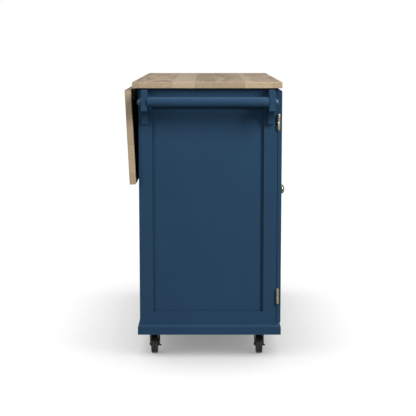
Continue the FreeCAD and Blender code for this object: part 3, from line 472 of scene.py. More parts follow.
CASTER_BRASS = make_metal("aged_caster_brass", (0.15, 0.128, 0.045, 1), (0.03, 0.026, 0.012, 1),
                          0.38, 0.008)
STEEL = make_metal("zinc_plated_steel", (0.46, 0.46, 0.45, 1), (0.2, 0.19, 0.175, 1), 0.34)
CAP_NAVY = make_paint("navy_gloss_caps", NAVY_COLOUR, 0.28, 0.5)
TYRE = make_moulded("caster_tyre_black", (0.029, 0.029, 0.030, 1), 0.4)
HUB = make_moulded("caster_hub_black", (0.02, 0.02, 0.021, 1), 0.32, 300.0, 0.5)
BUMPER = make_moulded("bumper_rubber_grey", (0.03, 0.03, 0.032, 1), 0.7, 1200.0, 0.2)


# ---- Turned, pressed and moulded hardware ----

def arc(middle, radius, start, end, steps=6):
    """Points along an arc of a profile or outline; angles in degrees."""
    turns = [math.radians(start + (end - start) * step / steps) for step in range(steps + 1)]
    return [(middle[0] + radius * math.cos(turn), middle[1] + radius * math.sin(turn))
            for turn in turns]


def rod_profile(radius, length, rounding, shares=()):
    """The profile of a rod with rounded ends, cut at some shares of its length."""
    profile = [(0, 0)] + arc((radius - rounding, rounding), rounding, -90, 0, 3)
    profile += [(radius, length * share) for share in shares]
    profile += arc((radius - rounding, length - rounding), rounding, 0, 90, 3)
    return profile + [(0, length)]


def rounded_plate(half_u, half_v, corner):
    """The outline of a rectangle with rounded corners, about its own middle."""
    outline = []
    for quarter, (side_u, side_v) in enumerate(((1, 1), (-1, 1), (-1, -1), (1, -1))):
        middle = (side_u * (half_u - corner), side_v * (half_v - corner))
        outline += arc(middle, corner, 90 * quarter, 90 * quarter + 90, 4)
    return outline


def upright(x, y, z=0.0, out=1):
    """Sets an outline of (along X, up) upright, its thickness going out along Y."""
    return Matrix(((1, 0, 0, x), (0, 0, out, y), (0, 1, 0, z), (0, 0, 0, 1)))


def solids(name):
    """The lowest and highest corner of each separate solid of a frame piece."""
    mesh = bmesh.new()
    mesh.from_mesh(NODES[name].data)
    bmesh.ops.remove_doubles(mesh, verts=mesh.verts, dist=SAME_SOLID)
    waiting = set(mesh.verts)
    found = []
    while waiting:
        front = [waiting.pop()]
        island = []
        while front:
            corner = front.pop()
            island.append(corner.co.copy())
            for edge in corner.link_edges:
                other = edge.other_vert(corner)
                if other in waiting:
                    waiting.remove(other)
                    front.append(other)
        found.append((Vector([min(c[k] for c in island) for k in range(3)]),
                      Vector([max(c[k] for c in island) for k in range(3)])))
    mesh.free()
    return sorted(found, key=lambda box: [round(v, 4) for v in box[0]])


def place_in_scene(name, data):
    """A new object of some data, linked into the scene."""
    made = bpy.data.objects.new(name, data)
    bpy.context.scene.collection.objects.link(made)
    return made


class Shape:
    """Collects turned, cut and pressed parts and makes one piece of them.

    Sizes are given in millimetres and places in metres."""

    def __init__(self):
        self.mesh = bmesh.new()

    def strip(self, first, second):
        """Skin the gap between two rings of corners; either may be a single point."""
        count = max(len(first), len(second))
        if count == 1:
            return
        for here in range(count):
            after = (here + 1) % count
            if len(first) == 1:
                self.mesh.faces.new((first[0], second[here], second[after]))
            elif len(second) == 1:
                self.mesh.faces.new((first[here], second[0], first[after]))
            else:
                self.mesh.faces.new((first[here], second[here], second[after], first[after]))

    def turned(self, profile, base, axis, steps=32, start=0.0):
        """A turned shape: profile is (radius, distance) along the axis from its base."""
        turn = Vector((0, 0, 1)).rotation_difference(Vector(axis)).to_matrix()
        rings = []
        for radius, along in profile:
            ring = []
            for step in range(steps if radius > 0 else 1):
                angle = math.radians(start) + math.tau * step / steps
                spot = Vector((radius * math.cos(angle), radius * math.sin(angle), along))
                ring.append(self.mesh.verts.new(Vector(base) + turn @ spot * MM))
            rings.append(ring)
        for first, second in zip(rings, rings[1:]):
            self.strip(first, second)
        return rings

    def ring(self, half, base, axis, steps):
        """A closed turned ring from the profile of its upper half."""
        profile = half + [(away, -along) for away, along in reversed(half)]
        rings = self.turned(profile, base, axis, steps)
        self.strip(rings[-1], rings[0])

    def block(self, low, high, ease):
        """A bar or plate between two corners, its edges eased."""
        low, high = Vector(low), Vector(high)
        size = Matrix.Diagonal((*(high - low), 1))
        cube = bmesh.ops.create_cube(self.mesh, size=1,
                                     matrix=Matrix.Translation((low + high) / 2) @ size)
        self.ease((edge for corner in cube["verts"] for edge in corner.link_edges), ease)

    def ease(self, edges, amount):
        """Round some edges, each once and always in the same order."""
        bmesh.ops.bevel(self.mesh, geom=list(dict.fromkeys(edges)), offset=amount * MM,
                        segments=2, profile=0.5, affect="EDGES")

    def pressed(self, outline, place, thick, ease):
        """A flat outline of (u, v) points, set in space by place, with a thickness along w."""
        rings = []
        for w in (0, thick):
            rings.append([self.mesh.verts.new(place @ (Vector((u, v, w)) * MM))
                          for u, v in outline])
        caps = [self.mesh.faces.new(ring) for ring in rings]
        self.strip(*rings)
        self.ease((edge for cap in caps for edge in cap.edges), ease)

    def screw(self, base, out, radius, rise):
        """A screw head with a cross recess, standing out from a surface."""
        profile = [(radius, -0.05), (radius, 0.35 * rise), (0.93 * radius, 0.75 * rise),
                   (0.76 * radius, rise)]
        rim = self.turned(profile, base, out, 24, 15.0)[-1]
        turn = Vector((0, 0, 1)).rotation_difference(Vector(out)).to_matrix()
        reach, half = 0.58 * radius, 0.15 * radius
        rings = []
        for share, height in ((1.0, rise), (0.85, 0.15 * rise)):
            ring = []
            for corner in range(12):
                u, v = ((reach, half), (half, half), (half, reach))[corner % 3]
                quarter = Matrix.Rotation(math.radians(90 * (corner // 3)), 3, "Z")
                spot = quarter @ Vector((u * share, v * share, height))
                ring.append(self.mesh.verts.new(Vector(base) + turn @ spot * MM))
            rings.append(ring)
        top, floor = rings
        for corner in range(12):
            after = (corner + 1) % 12
            side = rim[2 * corner + 1]
            self.mesh.faces.new((rim[2 * corner], side, top[corner]))
            self.mesh.faces.new((side, rim[(2 * corner + 2) % 24], top[after], top[corner]))
        self.strip(top, floor)
        self.mesh.faces.new(floor)

    def piece(self, name, material, body, slot, replaced=()):
        """Finish the piece, hang it on a body and hide what it stands for."""
        bmesh.ops.recalc_face_normals(self.mesh, faces=self.mesh.faces)
        mesh = bpy.data.meshes.new(name)
        self.mesh.to_mesh(mesh)
        self.mesh.free()
        mesh.polygons.foreach_set("use_smooth", [True] * len(mesh.polygons))
        mesh.set_sharp_from_angle(angle=math.radians(SMOOTH_ANGLE))
        mesh.materials.append(material)
        made = place_in_scene(name, mesh)
        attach(made, body)
        if replaced:
            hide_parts(*replaced)


SIDES = ("left", "right")
DRAWERS = ("top", "middle", "bottom")
CASTERS = ("left_front", "left_back", "right_front", "right_back")
BRAKED = ("left_front", "left_back")
OUT_OF_FRONT = (0, -1, 0)
INTO_BACK = (0, 1, 0)
UP = (0, 0, 1)
DOWN = (0, 0, -1)


# ---- knobs ----

def knob_profile():
    """Stepped rose, waisted neck and a domed head with a turned ring."""
    profile = [(0, 0), (9, 0), (9, 1.5), (8.6, 2.0), (7.9, 2.1), (7.6, 2.7), (6.8, 3.1),
               (5.8, 4.4), (5.3, 6.5), (5.2, 9.0), (5.7, 11.4), (7.4, 13.2), (10.2, 14.1)]
    profile += arc((13.2, 17.4), 3.3, -90, 0, 6)
    for step in range(1, 12):
        turn = math.radians(90 * step / 12)
        radius, along = 16.5 * math.cos(turn), 17.4 + 9.6 * math.sin(turn)
        if step == 7:
            profile += [(radius + 0.7, along - 0.15), (radius + 0.3, along - 0.75),
                        (radius - 0.3, along - 0.55), (radius - 0.7, along + 0.3)]
        else:
            profile.append((radius, along))
    return profile + [(0, 27.0)]


def make_knob(kind, which, body, inner_y):
    """One turned knob and the bolt that holds it from inside."""
    name = kind + "_knob_" + which
    low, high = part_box(name)
    middle = (low + high) / 2
    knob = Shape()
    knob.turned(knob_profile(), (middle.x, high.y, middle.z), OUT_OF_FRONT, 48)
    knob.piece("turned_" + name, KNOB_BRASS, body, "brass", (name,))
    bolt = Shape()
    inner = (middle.x, inner_y, middle.z)
    bolt.turned([(0, 0), (6, 0), (6, 0.5), (5.7, 0.8), (0, 0.8)], inner, INTO_BACK, 32)
    bolt.screw((middle.x, inner_y + 0.8 * MM, middle.z), INTO_BACK, 3.8, 1.3)
    bolt.piece(kind + "_knob_bolt_" + which, STEEL, body, "steel")


def make_knobs():
    """A knob on each door and each drawer front."""
    for side in SIDES:
        make_knob("door", side, "door_" + side, door_back(side))
    for drawer in DRAWERS:
        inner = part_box("drawer_box_" + drawer)[0].y + DRAWER_BOARD * MM
        make_knob("drawer", drawer, "drawer_" + drawer, inner)


# ---- door hinges and catches ----

def knuckle(shape, x, y, foot, top):
    """One barrel of a hinge with softened ends."""
    profile = rod_profile(HINGE_BARREL_R, (top - foot) / MM, 0.5)
    shape.turned(profile, (x, y, foot), UP, 40)


def hinge_leaf(shape, box, out, foot, top):
    """The flat leaf of a hinge: rounded at its free edge, with three screws."""
    low, high = box
    half = (top - foot) / 2 / MM
    middle = Vector(((low.x + high.x) / 2, low.y, (foot + top) / 2))
    shape.pressed(rounded_plate((high.x - low.x) / 2 / MM, half, 2.0), upright(*middle),
                  (high.y - low.y) / MM, 0.12)
    face = low.y if out[1] < 0 else high.y
    for step in (-0.66, 0, 0.66):
        shift = 0.0022 if step == 0 else -0.0022
        shape.screw((middle.x + shift, face, middle.z + step * half * MM), out, 2.6, 0.14)


def door_back(side):
    """Where the inner face of a door lies."""
    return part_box("door_frame_" + side)[1].y


def make_door_hinges():
    """Cabinet halves, door halves and the pins with their button tips."""
    fixed = Shape()
    swinging = {side: Shape() for side in SIDES}
    pins = Shape()
    body_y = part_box("door_hinge_plates")[1].y
    for low, high in solids("door_hinge_pins"):
        x, y = (low.x + high.x) / 2, (low.y + high.y) / 2
        middle = (low.z + high.z) / 2
        side = "left" if x < BODY_MIDDLE_X else "right"
        inward = 1 if side == "left" else -1
        reach = [x + inward * HINGE_BARREL_R * MM, x + inward * (HINGE_BARREL_R + HINGE_LEAF) * MM]
        door_y = door_back(side)
        for shape, y0, y1, out, z0, z1 in (
                (fixed, body_y - HINGE_SHEET * MM, body_y, OUT_OF_FRONT, low.z, middle),
                (swinging[side], door_y, door_y + HINGE_SHEET * MM, INTO_BACK,
                 middle + HINGE_JOINT * MM, high.z)):
            knuckle(shape, x, y, z0, z1)
            shape.block((min(x, reach[0]), y0, z0), (max(x, reach[0]), y1, z1), 0.1)
            box = (Vector((min(reach), y0, low.z)), Vector((max(reach), y1, high.z)))
            hinge_leaf(shape, box, out, low.z, high.z)
        tip = [(0, 0), (3.3, 0), (3.5, 0.35)] + arc((1.9, 0.35), 1.3, 20, 90, 5) + [(0, 1.75)]
        pins.turned(tip, (x, y, high.z - 0.0001), UP, 32)
        pins.turned(tip, (x, y, low.z + 0.0001), DOWN, 32)
        pins.turned([(0, 0), (2.1, 0), (2.1, (high.z - low.z) / MM), (0, (high.z - low.z) / MM)],
                    (x, y, low.z), UP, 20)
    fixed.piece("hinge_cabinet_halves", HINGE_BRASS, "cabinet", "brass", ("door_hinge_plates",))
    pins.piece("hinge_pins_with_tips", HINGE_BRASS, "cabinet", "brass", ("door_hinge_pins",))
    for side in SIDES:
        swinging[side].piece("hinge_door_halves_" + side, HINGE_BRASS, "door_" + side, "brass",
                             ("door_hinge_leaves_" + side,))


def make_catches():
    """Magnetic catches under the front rail and their strike plates on the doors."""
    cases = Shape()
    jaws = Shape()
    for low, high in solids("door_catches"):
        side = "left" if low.x < BODY_MIDDLE_X else "right"
        middle = (low + high) / 2
        cases.block(low + Vector((0, 0.0012, 0)), high, 1.2)
        for share in (-1, 1):
            spot_x = middle.x + share * 0.0145
            cases.turned([(3.6, 0), (3.6, 0.5), (3.2, 0.8), (0, 0.8)],
                         (spot_x, middle.y + 0.002, low.z), DOWN, 24)
            jaws.screw((spot_x, middle.y + 0.002, low.z - 0.0008), DOWN, 2.4, 0.7)
            z = middle.z + share * 0.0028
            jaws.block((middle.x - 0.0085, low.y, z - 0.0007),
                       (middle.x + 0.0085, middle.y, z + 0.0007), 0.2)
        strike = Shape()
        door_y = door_back(side)
        strike.pressed(rounded_plate(16, 5.5, 2), upright(middle.x, door_y, middle.z), 0.8, 0.15)
        for shift in (-0.0115, 0.0115):
            strike.screw((middle.x + shift, door_y + 0.0008, middle.z), INTO_BACK, 2.2, 0.3)
        strike.piece("catch_strike_" + side, STEEL, "door_" + side, "steel")
    cases.piece("catch_cases", HUB, "cabinet", "steel", ("door_catches",))
    jaws.piece("catch_jaws", STEEL, "cabinet", "steel")


# ---- towel bar ----

def make_towel_bar():
    """A smooth round bar let into the brackets, with a domed plug outside each."""
    low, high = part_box("towel_brackets")
    bar_low, bar_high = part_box("towel_bar")
    x, z = (bar_low.x + bar_high.x) / 2, (bar_low.z + bar_high.z) / 2
    radius = (bar_high.z - bar_low.z) / 2 / MM
    start = low.y + BRACKET_THICK * MM
    length = (high.y - low.y) / MM - 2 * BRACKET_THICK
    bar = Shape()
    bar.turned(rod_profile(radius, length, 0.8, (0.25, 0.5, 0.75)), (x, start, z), INTO_BACK, 72)
    bar.piece("round_towel_bar", NAVY, "cabinet", "blue_paint", ("towel_bar",))
    caps = Shape()
    for cap_low, cap_high in solids("towel_bar_caps"):
        out = INTO_BACK if cap_low.y > BODY_MIDDLE_Y else OUT_OF_FRONT
        base = cap_low.y if out is INTO_BACK else cap_high.y
        cap_r, cap_long = (cap_high.z - cap_low.z) / 2 / MM, (cap_high.y - cap_low.y) / MM
        dome = [(cap_r, 0), (cap_r, 1.4), (cap_r - 0.6, 2.0), (cap_r - 1.6, 2.2)]
        for turn in range(0, 90, 10):
            angle = math.radians(turn)
            dome.append(((cap_r - 2.0) * math.cos(angle), 2.6 + (cap_long - 2.6) * math.sin(angle)))
        caps.turned(dome + [(0, cap_long)], (x, base, z), out, 48)
    caps.piece("domed_bar_caps", CAP_NAVY, "cabinet", "blue_paint", ("towel_bar_caps",))


# ---- leaf hinges, stays and bumpers ----

def make_leaf_hardware():
    """Screws of the leaf hinges, the stays and the bumpers."""
    fixings = Shape()
    for low, high in solids("leaf_hinge_plates"):
        y = low.y + 0.0055
        for share in (-0.36, 0, 0.36):
            x = (low.x + high.x) / 2 + share * (high.x - low.x)
            fixings.screw((x, y, high.z - LEAF_SHEET * MM), DOWN, 3.0, 0.5)
    for low, high in solids("stay_brackets"):
        x = (low.x + high.x) / 2
        for share in (0.62, 0.88):
            spot = (x, low.y + STAY_EAR * MM, low.z + share * (high.z - low.z))
            fixings.screw(spot, INTO_BACK, 3.4, 1.2)
        eye_z = low.z + STAY_EYE_R * MM
        rivet = [(3.2, 0), (3.2, 0.3)] + arc((1.9, 0.3), 1.3, 0, 90, 5) + [(0, 1.6)]
        for end, out in ((low.x + EAR_IN * MM, (-1, 0, 0)), (high.x - EAR_IN * MM, (1, 0, 0))):
            fixings.turned(rivet, (end, low.y + STAY_PIVOT_OUT * MM, eye_z), out, 24)
    fixings.piece("leaf_and_stay_fixings", STEEL, "cabinet", "steel")
    straps = Shape()
    lean = math.radians(LEAF_LEAN)
    out = Vector((0, -math.cos(lean), math.sin(lean)))
    for low, high in solids("leaf_hinge_straps"):
        for share in (-0.36, 0, 0.36):
            for drop in (0.012, 0.025):
                if share != 0 or drop > 0.02:
                    x = (low.x + high.x) / 2 + share * (high.x - low.x)
                    up = high.z - low.z - drop
                    back = LEAF_SHEET * MM * math.cos(lean)
                    y = high.y - back - math.tan(lean) * (drop + 0.0008)
                    straps.screw((x, y, low.z + up), out, 3.0, 0.5)
    straps.piece("leaf_strap_screws", STEEL, "leaf", "steel")
    for side in SIDES:
        name = "stay_arm_" + side
        low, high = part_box(name)
        eye_z, tip_z = high.z - STAY_EYE_R * MM, low.z + STAY_TIP_R * MM
        y = (low.y + high.y) / 2
        to_frame = Matrix(((0, 0, 1, low.x), (1, 0, 0, y), (0, 1, 0, eye_z), (0, 0, 0, 1)))
        down = (tip_z - eye_z) / MM
        outline = arc((0, 0), STAY_EYE_R, -34, 214, 16) + [(-2.5, -8), (-2.5, down + 8)]
        outline += arc((0, down), STAY_TIP_R, 141, 399, 14) + [(2.5, down + 8), (2.5, -8)]
        arm = Shape()
        arm.pressed(outline, to_frame, (high.x - low.x) / MM, 0.5)
        arm.piece("flat_" + name, STEEL, "stay_" + side, "steel", (name,))
    pads = Shape()
    for low, high in solids("leaf_bumpers"):
        middle, long = (low + high) / 2, (high.y - low.y) / MM
        radius = (high.z - low.z) / 2 / MM
        profile = [(0, 0), (radius, 0), (radius, 1.0), (radius - 0.7, 1.6),
                   (radius - 0.7, long - 1.6)]
        profile += arc((radius - 2.2, long - 1.5), 1.5, 0, 90, 4)
        profile += [(3.2, long), (2.6, long - 1.2), (0, long - 1.2)]
        pads.turned(profile, (middle.x, low.y, middle.z), INTO_BACK, 32)
    pads.piece("turned_bumpers", BUMPER, "cabinet", "bumper_rubber", ("leaf_bumpers",))


# ---- shelf pins ----

def make_shelf_pins():
    """Round steel pins with a shoulder against the board and a rounded nose."""
    pins = Shape()
    for low, high in solids("shelf_pins"):
        middle, length = (low + high) / 2, (high.x - low.x) / MM
        profile = rod_profile((high.z - low.z) / 2 / MM, length, 0.8)
        pins.turned(profile, (low.x, middle.y, middle.z), (1, 0, 0), 20)
    pins.piece("round_shelf_pins", STEEL, "cabinet", "steel", ("shelf_pins",))


# ---- casters ----

def make_caster_plates():
    """Top plate with screws, ball race and kingpin of each caster."""
    plates = Shape()
    fixings = Shape()
    for low, high in solids("caster_plates"):
        middle = (low + high) / 2
        flat = Matrix.Translation((middle.x, middle.y, high.z - CASTER_PLATE * MM))
        half_x, half_y = (high.x - low.x) / 2 / MM, (high.y - low.y) / 2 / MM
        plates.pressed(rounded_plate(half_x, half_y, 6), flat, CASTER_PLATE, 0.5)
        race_top = high.z - CASTER_PLATE * MM + 0.0001
        race = [(0, 0), (19, 0), (19, 2.2), (17.6, 3.0), (17.2, 4.2), (18.4, 5.0), (18.9, 6.2),
                (18.9, 8.3), (18.2, 9.1), (6, 9.1), (6, 7)]
        plates.turned(race, (middle.x, middle.y, race_top), DOWN, 48)
        head = [(0, -4), (5, -4), (5, 0), (7.6, 0), (8, 0.5), (8, 1.3), (6.6, 2.2), (4, 2.5),
                (0, 2.5)]
        plates.turned(head, (middle.x, middle.y, low.z + 0.0025), DOWN, 32)
        for side_x in (-1, 1):
            for side_y in (-1, 1):
                spot = (middle.x + side_x * (half_x - 7) * MM,
                        middle.y + side_y * (half_y - 6) * MM, high.z - CASTER_PLATE * MM)
                fixings.screw(spot, DOWN, 3.6, 1.2)
    plates.piece("caster_top_plates", CASTER_BRASS, "cabinet", "dark_brass", ("caster_plates",))
    fixings.piece("caster_plate_screws", STEEL, "cabinet", "steel")


def make_fork(which, swivel_x, axle):
    """Pressed fork: crown, saddle, two arms and the riveted axle."""
    fork = Shape()
    crown = [(5.3, 0), (15.5, 0), (17.4, 0.7), (18, 1.6), (18, 3.0), (17.2, 4.0), (14.4, 4.0),
             (13.6, 3.3), (12.4, 3.3), (11.6, 4.0), (5.3, 4.0), (5.3, 0)]
    fork.turned(crown, (swivel_x, axle.y, CROWN_FOOT * MM), UP, 48)
    fork.block((swivel_x - 15 * MM, axle.y - 14.6 * MM, SADDLE_FOOT * MM),
               (swivel_x + 15 * MM, axle.y + 14.6 * MM, SADDLE_TOP * MM), 1.3)
    drop = (axle.x - swivel_x) / MM
    outline = [(15, 82.6), (-15, 82.6), (-16.6, 76)] + arc((drop, axle.z / MM), 7.9, 166, 345, 14)
    outline += [(-6.5, 45.5), (2, 55), (9, 62), (13.6, 66.5), (15.2, 70.5)]
    flange = [(-10.8, 82.4), (-14.8, 82.4), (-16.4, 76), (-28.4, 42), (-24.6, 42), (-12.6, 75)]
    rivet = [(8, -0.2), (8, 0.3), (7.4, 0.6), (5.5, 0.6), (5.4, 1.0)]
    rivet += arc((3.6, 1.0), 1.8, 8, 90, 6) + [(0, 2.9)]
    for out in (-1, 1):
        face = axle.y + out * FORK_INNER * MM
        fork.pressed(outline, upright(swivel_x, face, 0, out), FORK_SHEET, 0.7)
        outer = axle.y + out * (FORK_INNER + FORK_SHEET) * MM
        fork.pressed(flange, upright(swivel_x, outer - out * 0.8 * MM, 0, out), 2.4, 0.7)
        fork.turned(rivet, (axle.x, outer, axle.z), (0, out, 0), 32)
    fork.turned([(0, 0), (3, 0), (3, 2 * FORK_INNER), (0, 2 * FORK_INNER)],
                (axle.x, axle.y - FORK_INNER * MM, axle.z), INTO_BACK, 24)
    if which in BRAKED:
        outer = axle.y - (FORK_INNER + FORK_SHEET) * MM
        stud = [(0, 0), (2.5, 0), (2.5, 2.8), (4, 2.8), (4, 3.2)] + arc((2.9, 3.2), 1.1, 0, 90, 4)
        fork.turned(stud + [(0, 4.3)], (swivel_x + BRAKE_PIVOT_X * MM, outer, BRAKE_PIVOT_Z * MM),
                    OUT_OF_FRONT, 28)
    fork.piece("pressed_fork_" + which, CASTER_BRASS, "caster_" + which, "dark_brass",
               ("caster_fork_" + which,))


def make_wheel(which, axle, radius, half):
    """Soft tread in two ribs, dished sides with a moulded ring, and hub caps."""
    side = [(23.5, half - 1.4), (24.6, half - 0.5), (26.0, half - 0.2)]
    side += arc((radius - 4.6, half - 4.6), 4.4, 82, 14, 7)
    side += [(radius, half - 7.2), (radius, 2.6), (radius - 0.3, 1.6), (radius - 1.1, 1.0)]
    tyre = Shape()
    tyre.ring(side, axle, INTO_BACK, 72)
    tyre.piece("tyre_" + which, TYRE, "wheel_" + which, "wheel_black", ("caster_wheel_" + which,))
    hub = Shape()
    face = [(3.05, 11.4), (7.6, 11.4), (8.6, 11.1), (9.0, 10.4), (9.8, half - 2.6),
            (12.6, half - 2.8), (13.4, half - 2.2), (14.6, half - 2.2), (15.4, half - 2.8),
            (20.4, half - 2.6), (21.4, half - 1.6), (23.0, half - 1.2), (23.7, half - 1.6)]
    hub.ring(face, axle, INTO_BACK, 56)
    for step in range(6):
        turn = math.radians(60 * step)
        for out in (-1, 1):
            spot = (axle.x + 18.0 * MM * math.cos(turn), axle.y + out * (half - 2.8) * MM,
                    axle.z + 18.0 * MM * math.sin(turn))
            hub.turned([(1.7, 0), (1.6, 0.5), (1.1, 0.8), (0, 0.9)], spot, (0, out, 0), 16)
    hub.piece("hub_" + which, HUB, "wheel_" + which, "wheel_black")


def make_brake(which, swivel_x, axle):
    """Side lever of a braked caster with a ribbed tab for the toe."""
    lever = Shape()
    outer = axle.y - (FORK_INNER + FORK_SHEET + BRAKE_GAP) * MM
    px = BRAKE_PIVOT_X
    outline = arc((px, BRAKE_PIVOT_Z), 6, 0, 180, 12)
    outline += [(px - 5.2, 58), (px - 4.2, 46), (px - 5.0, 35), (px - 7.6, 27), (px - 9, 21)]
    outline += [(px + 5, 21), (px + 4.6, 30), (px + 3.8, 44), (px + 4.9, 58)]
    lever.pressed(outline, upright(swivel_x, outer, 0, -1), BRAKE_SHEET, 0.5)
    x0, x1 = swivel_x + (px - 9) * MM, swivel_x + (px + 5) * MM
    y1 = outer - 0.1 * MM
    y0 = outer - (BRAKE_SHEET + BRAKE_TAB) * MM
    lever.block((x0, y0, BRAKE_TAB_FOOT * MM), (x1, y1, BRAKE_TAB_TOP * MM), 0.8)
    for step in range(3):
        y = y0 + (1.4 + 1.5 * step) * MM
        lever.block((x0 + 1.4 * MM, y - 0.35 * MM, (BRAKE_TAB_TOP - 0.2) * MM),
                    (x1 - 1.4 * MM, y + 0.35 * MM, BRAKE_RIB_TOP * MM), 0.25)
    lever.block((swivel_x + (px - 1.1) * MM, outer - (BRAKE_SHEET + 0.5) * MM, 30 * MM),
                (swivel_x + (px + 0.7) * MM, outer - BRAKE_SHEET * MM + 0.0002, 59 * MM), 0.35)
    lever.piece("brake_lever_" + which, CASTER_BRASS, "brake_" + which, "dark_brass",
                ("caster_brake_" + which,))


def make_casters():
    """Four swivelling casters, two of them braked."""
    make_caster_plates()
    for which in CASTERS:
        low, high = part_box("caster_wheel_" + which)
        axle = (low + high) / 2
        swivel_x = axle.x + CASTER_TRAIL * MM
        make_fork(which, swivel_x, axle)
        make_wheel(which, axle, (high.z - low.z) / 2 / MM, WHEEL_WIDTH / 2)
        if which in BRAKED:
            make_brake(which, swivel_x, axle)


# ---- Boards and plates kept from the frame ----

def dress(name, material, ease=0.0):
    """Give a frame piece its finish and ease its sharp edges."""
    piece = NODES[name]
    if not piece.data.materials:
        piece.data.materials.append(material)
    for index in range(len(piece.data.materials)):
        piece.data.materials[index] = material
    if ease > 0:
        weld = piece.modifiers.new("join_faces", "WELD")
        weld.merge_threshold = SAME_CORNER
        bevel = piece.modifiers.new("eased_edges", "BEVEL")
        bevel.width = ease * MM
        bevel.segments = 2
        bevel.limit_method = "ANGLE"
        bevel.use_clamp_overlap = False
        bevel.angle_limit = math.radians(EASED_ANGLE)
        smooth = piece.modifiers.new("even_shading", "WEIGHTED_NORMAL")
        smooth.keep_sharp = False
    return piece


def dress_cabinet():
    """Painted carcass, doors and drawer fronts."""
    painted = ["top_rails", "base_mouldings", "back_panel", "towel_brackets"]
    for side in SIDES:
        painted += [part + side for part in ("end_stiles_", "end_rails_", "end_panel_",
                                             "door_frame_", "door_panel_")]
    painted += ["drawer_front_" + drawer for drawer in DRAWERS]
    shaped = ("towel_brackets", "base_mouldings", "door_frame_left", "door_frame_right")
    for name in painted:
        dress(name, NAVY, 0.0 if name in shaped else BOARD_EASE)
    inside = ["bottom_board"] + [part + side for part in ("divider_", "shelf_") for side in SIDES]
    for name in inside:
        dress(name, NAVY_INSIDE, INSIDE_EASE)


def dress_wood():
    """The top, the leaf and the drawer boxes."""
    dress("worktop", TOP_WOOD, WOOD_EASE)
    dress("drop_leaf", LEAF_WOOD, WOOD_EASE)
    dress("drawer_runners", PINE_Y, RUNNER_EASE)
    for drawer in DRAWERS:
        name = "drawer_box_" + drawer
        low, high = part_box(name)
        piece = dress(name, PINE_X)
        piece.data.materials.append(PINE_Y)
        for face in piece.data.polygons:
            if min(face.center.x - low.x, high.x - face.center.x) < DRAWER_BOARD * MM + 0.0001:
                face.material_index = 1


def dress_plates():
    """Stamped steel plates that keep their frame shape, edges eased."""
    dress("leaf_hinge_pins", STEEL)
    for name in ("leaf_hinge_plates", "leaf_hinge_straps", "stay_brackets"):
        dress(name, STEEL, PLATE_EASE)


dress_cabinet()
dress_wood()
dress_plates()
make_knobs()
make_door_hinges()
make_catches()
make_towel_bar()
make_leaf_hardware()
make_shelf_pins()
make_casters()


# ---- Floor, light and camera ----

def make_floor():
    """A pale floor, plain white away from the cart, with a painted shadow close to it: the glow
    seen by the camera dims where the cart hides the sky, and other rays see an even glow standing
    in for light bounced off the floor.
    """
    material = bpy.data.materials.new("pale_floor")
    material.use_nodes = True
    tree = material.node_tree
    shader = next(n for n in tree.nodes if n.type == "BSDF_PRINCIPLED")
    shader.inputs["Base Color"].default_value = FLOOR_TONE
    shader.inputs["Roughness"].default_value = 1.0
    shader.inputs["Specular IOR Level"].default_value = 0.0
    shader.inputs["Emission Color"].default_value = (1, 1, 1, 1)
    # Painted shadow: the floor's glow for the camera fades as the cart hides more of the sky.
    open_sky = node(tree, "ShaderNodeAmbientOcclusion", {"Distance": FLOOR_REACH},
                    samples=16).outputs["AO"]
    feed(tree, shader.inputs["Emission Strength"], rescale(tree, open_sky, 0, 1, *FLOOR_GLOW))
    # An even glow that lights the cart as light bounced off the floor would.
    bounce = node(tree, "ShaderNodeEmission", {"Strength": FLOOR_BOUNCE}).outputs[0]
    seen = node(tree, "ShaderNodeLightPath").outputs["Is Camera Ray"]
    mixed = node(tree, "ShaderNodeMixShader", {0: seen, 1: bounce, 2: shader.outputs[0]})
    output = next(n for n in tree.nodes if n.type == "OUTPUT_MATERIAL")
    feed(tree, output.inputs["Surface"], mixed.outputs[0])
    half = FLOOR_SIZE / 2
    mesh = bpy.data.meshes.new("floor")
    mesh.from_pydata([(-half, -half, 0), (half, -half, 0), (half, half, 0), (-half, half, 0)], [],
                     [(0, 1, 2, 3)])
    mesh.materials.append(material)
    place_in_scene("floor", mesh)


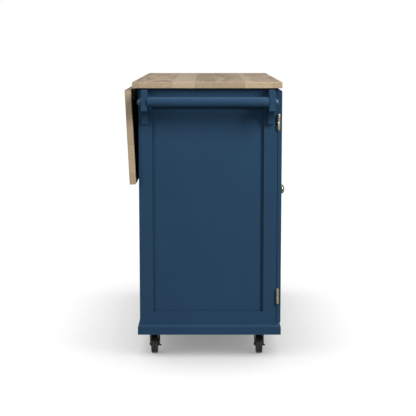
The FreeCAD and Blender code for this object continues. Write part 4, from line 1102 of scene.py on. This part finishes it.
def make_room():
    """Even light from all round; the backdrop itself shows plain white."""
    world = bpy.data.worlds.new("studio")
    bpy.context.scene.world = world
    world.use_nodes = True
    tree = world.node_tree
    background = next(n for n in tree.nodes if n.type == "BACKGROUND")
    background.inputs["Color"].default_value = (1, 1, 1, 1)
    seen = node(tree, "ShaderNodeLightPath").outputs["Is Camera Ray"]
    feed(tree, background.inputs["Strength"],
         rescale(tree, seen, 0, 1, ROOM_LIGHT, BACKDROP_WHITE))


def make_softbox(name, place, target, size, power):
    """A soft light of a width and height at a place, aimed at a target."""
    light = bpy.data.lights.new(name, "AREA")
    light.shape = "RECTANGLE"
    light.size, light.size_y = size
    light.energy = power
    lamp = place_in_scene(name, light)
    lamp.location = place
    lamp.rotation_euler = (target - place).to_track_quat("-Z", "Y").to_euler()


def make_lights():
    """The main softbox stands high on the doors' side of the towel bar end."""
    near_end = Vector((STILE_LOW.x, BODY_MIDDLE_Y, AIM_HEIGHT))
    key = near_end + KEY_DISTANCE * Vector(KEY_DIRECTION).normalized()
    make_softbox("main_softbox", key, near_end, KEY_SIZE, KEY_POWER)
    fill = near_end + KEY_DISTANCE * Vector(FILL_DIRECTION).normalized()
    make_softbox("fill_softbox", fill, near_end, KEY_SIZE, FILL_POWER)
    over = Vector((BODY_MIDDLE_X, BODY_MIDDLE_Y, OVERHEAD_HEIGHT))
    make_softbox("overhead_softbox", over, over + Vector(DOWN), OVERHEAD_SIZE, OVERHEAD_POWER)


def make_camera():
    """A long lens looking along the cart from its towel bar end, slightly down."""
    lens = bpy.data.cameras.new("camera")
    lens.lens = CAMERA_LENS
    lens.sensor_width = CAMERA_SENSOR
    lens.clip_end = FAR_AWAY
    camera = place_in_scene("camera", lens)
    camera.location = (TOP_LOW.x - CAMERA_DISTANCE, BODY_MIDDLE_Y, CAMERA_HEIGHT)
    camera.rotation_euler = (math.radians(90 - CAMERA_DOWN), 0, math.radians(-90))
    bpy.context.scene.camera = camera


make_floor()
make_room()
make_lights()
make_camera()
bpy.context.scene.view_settings.view_transform = "Standard"
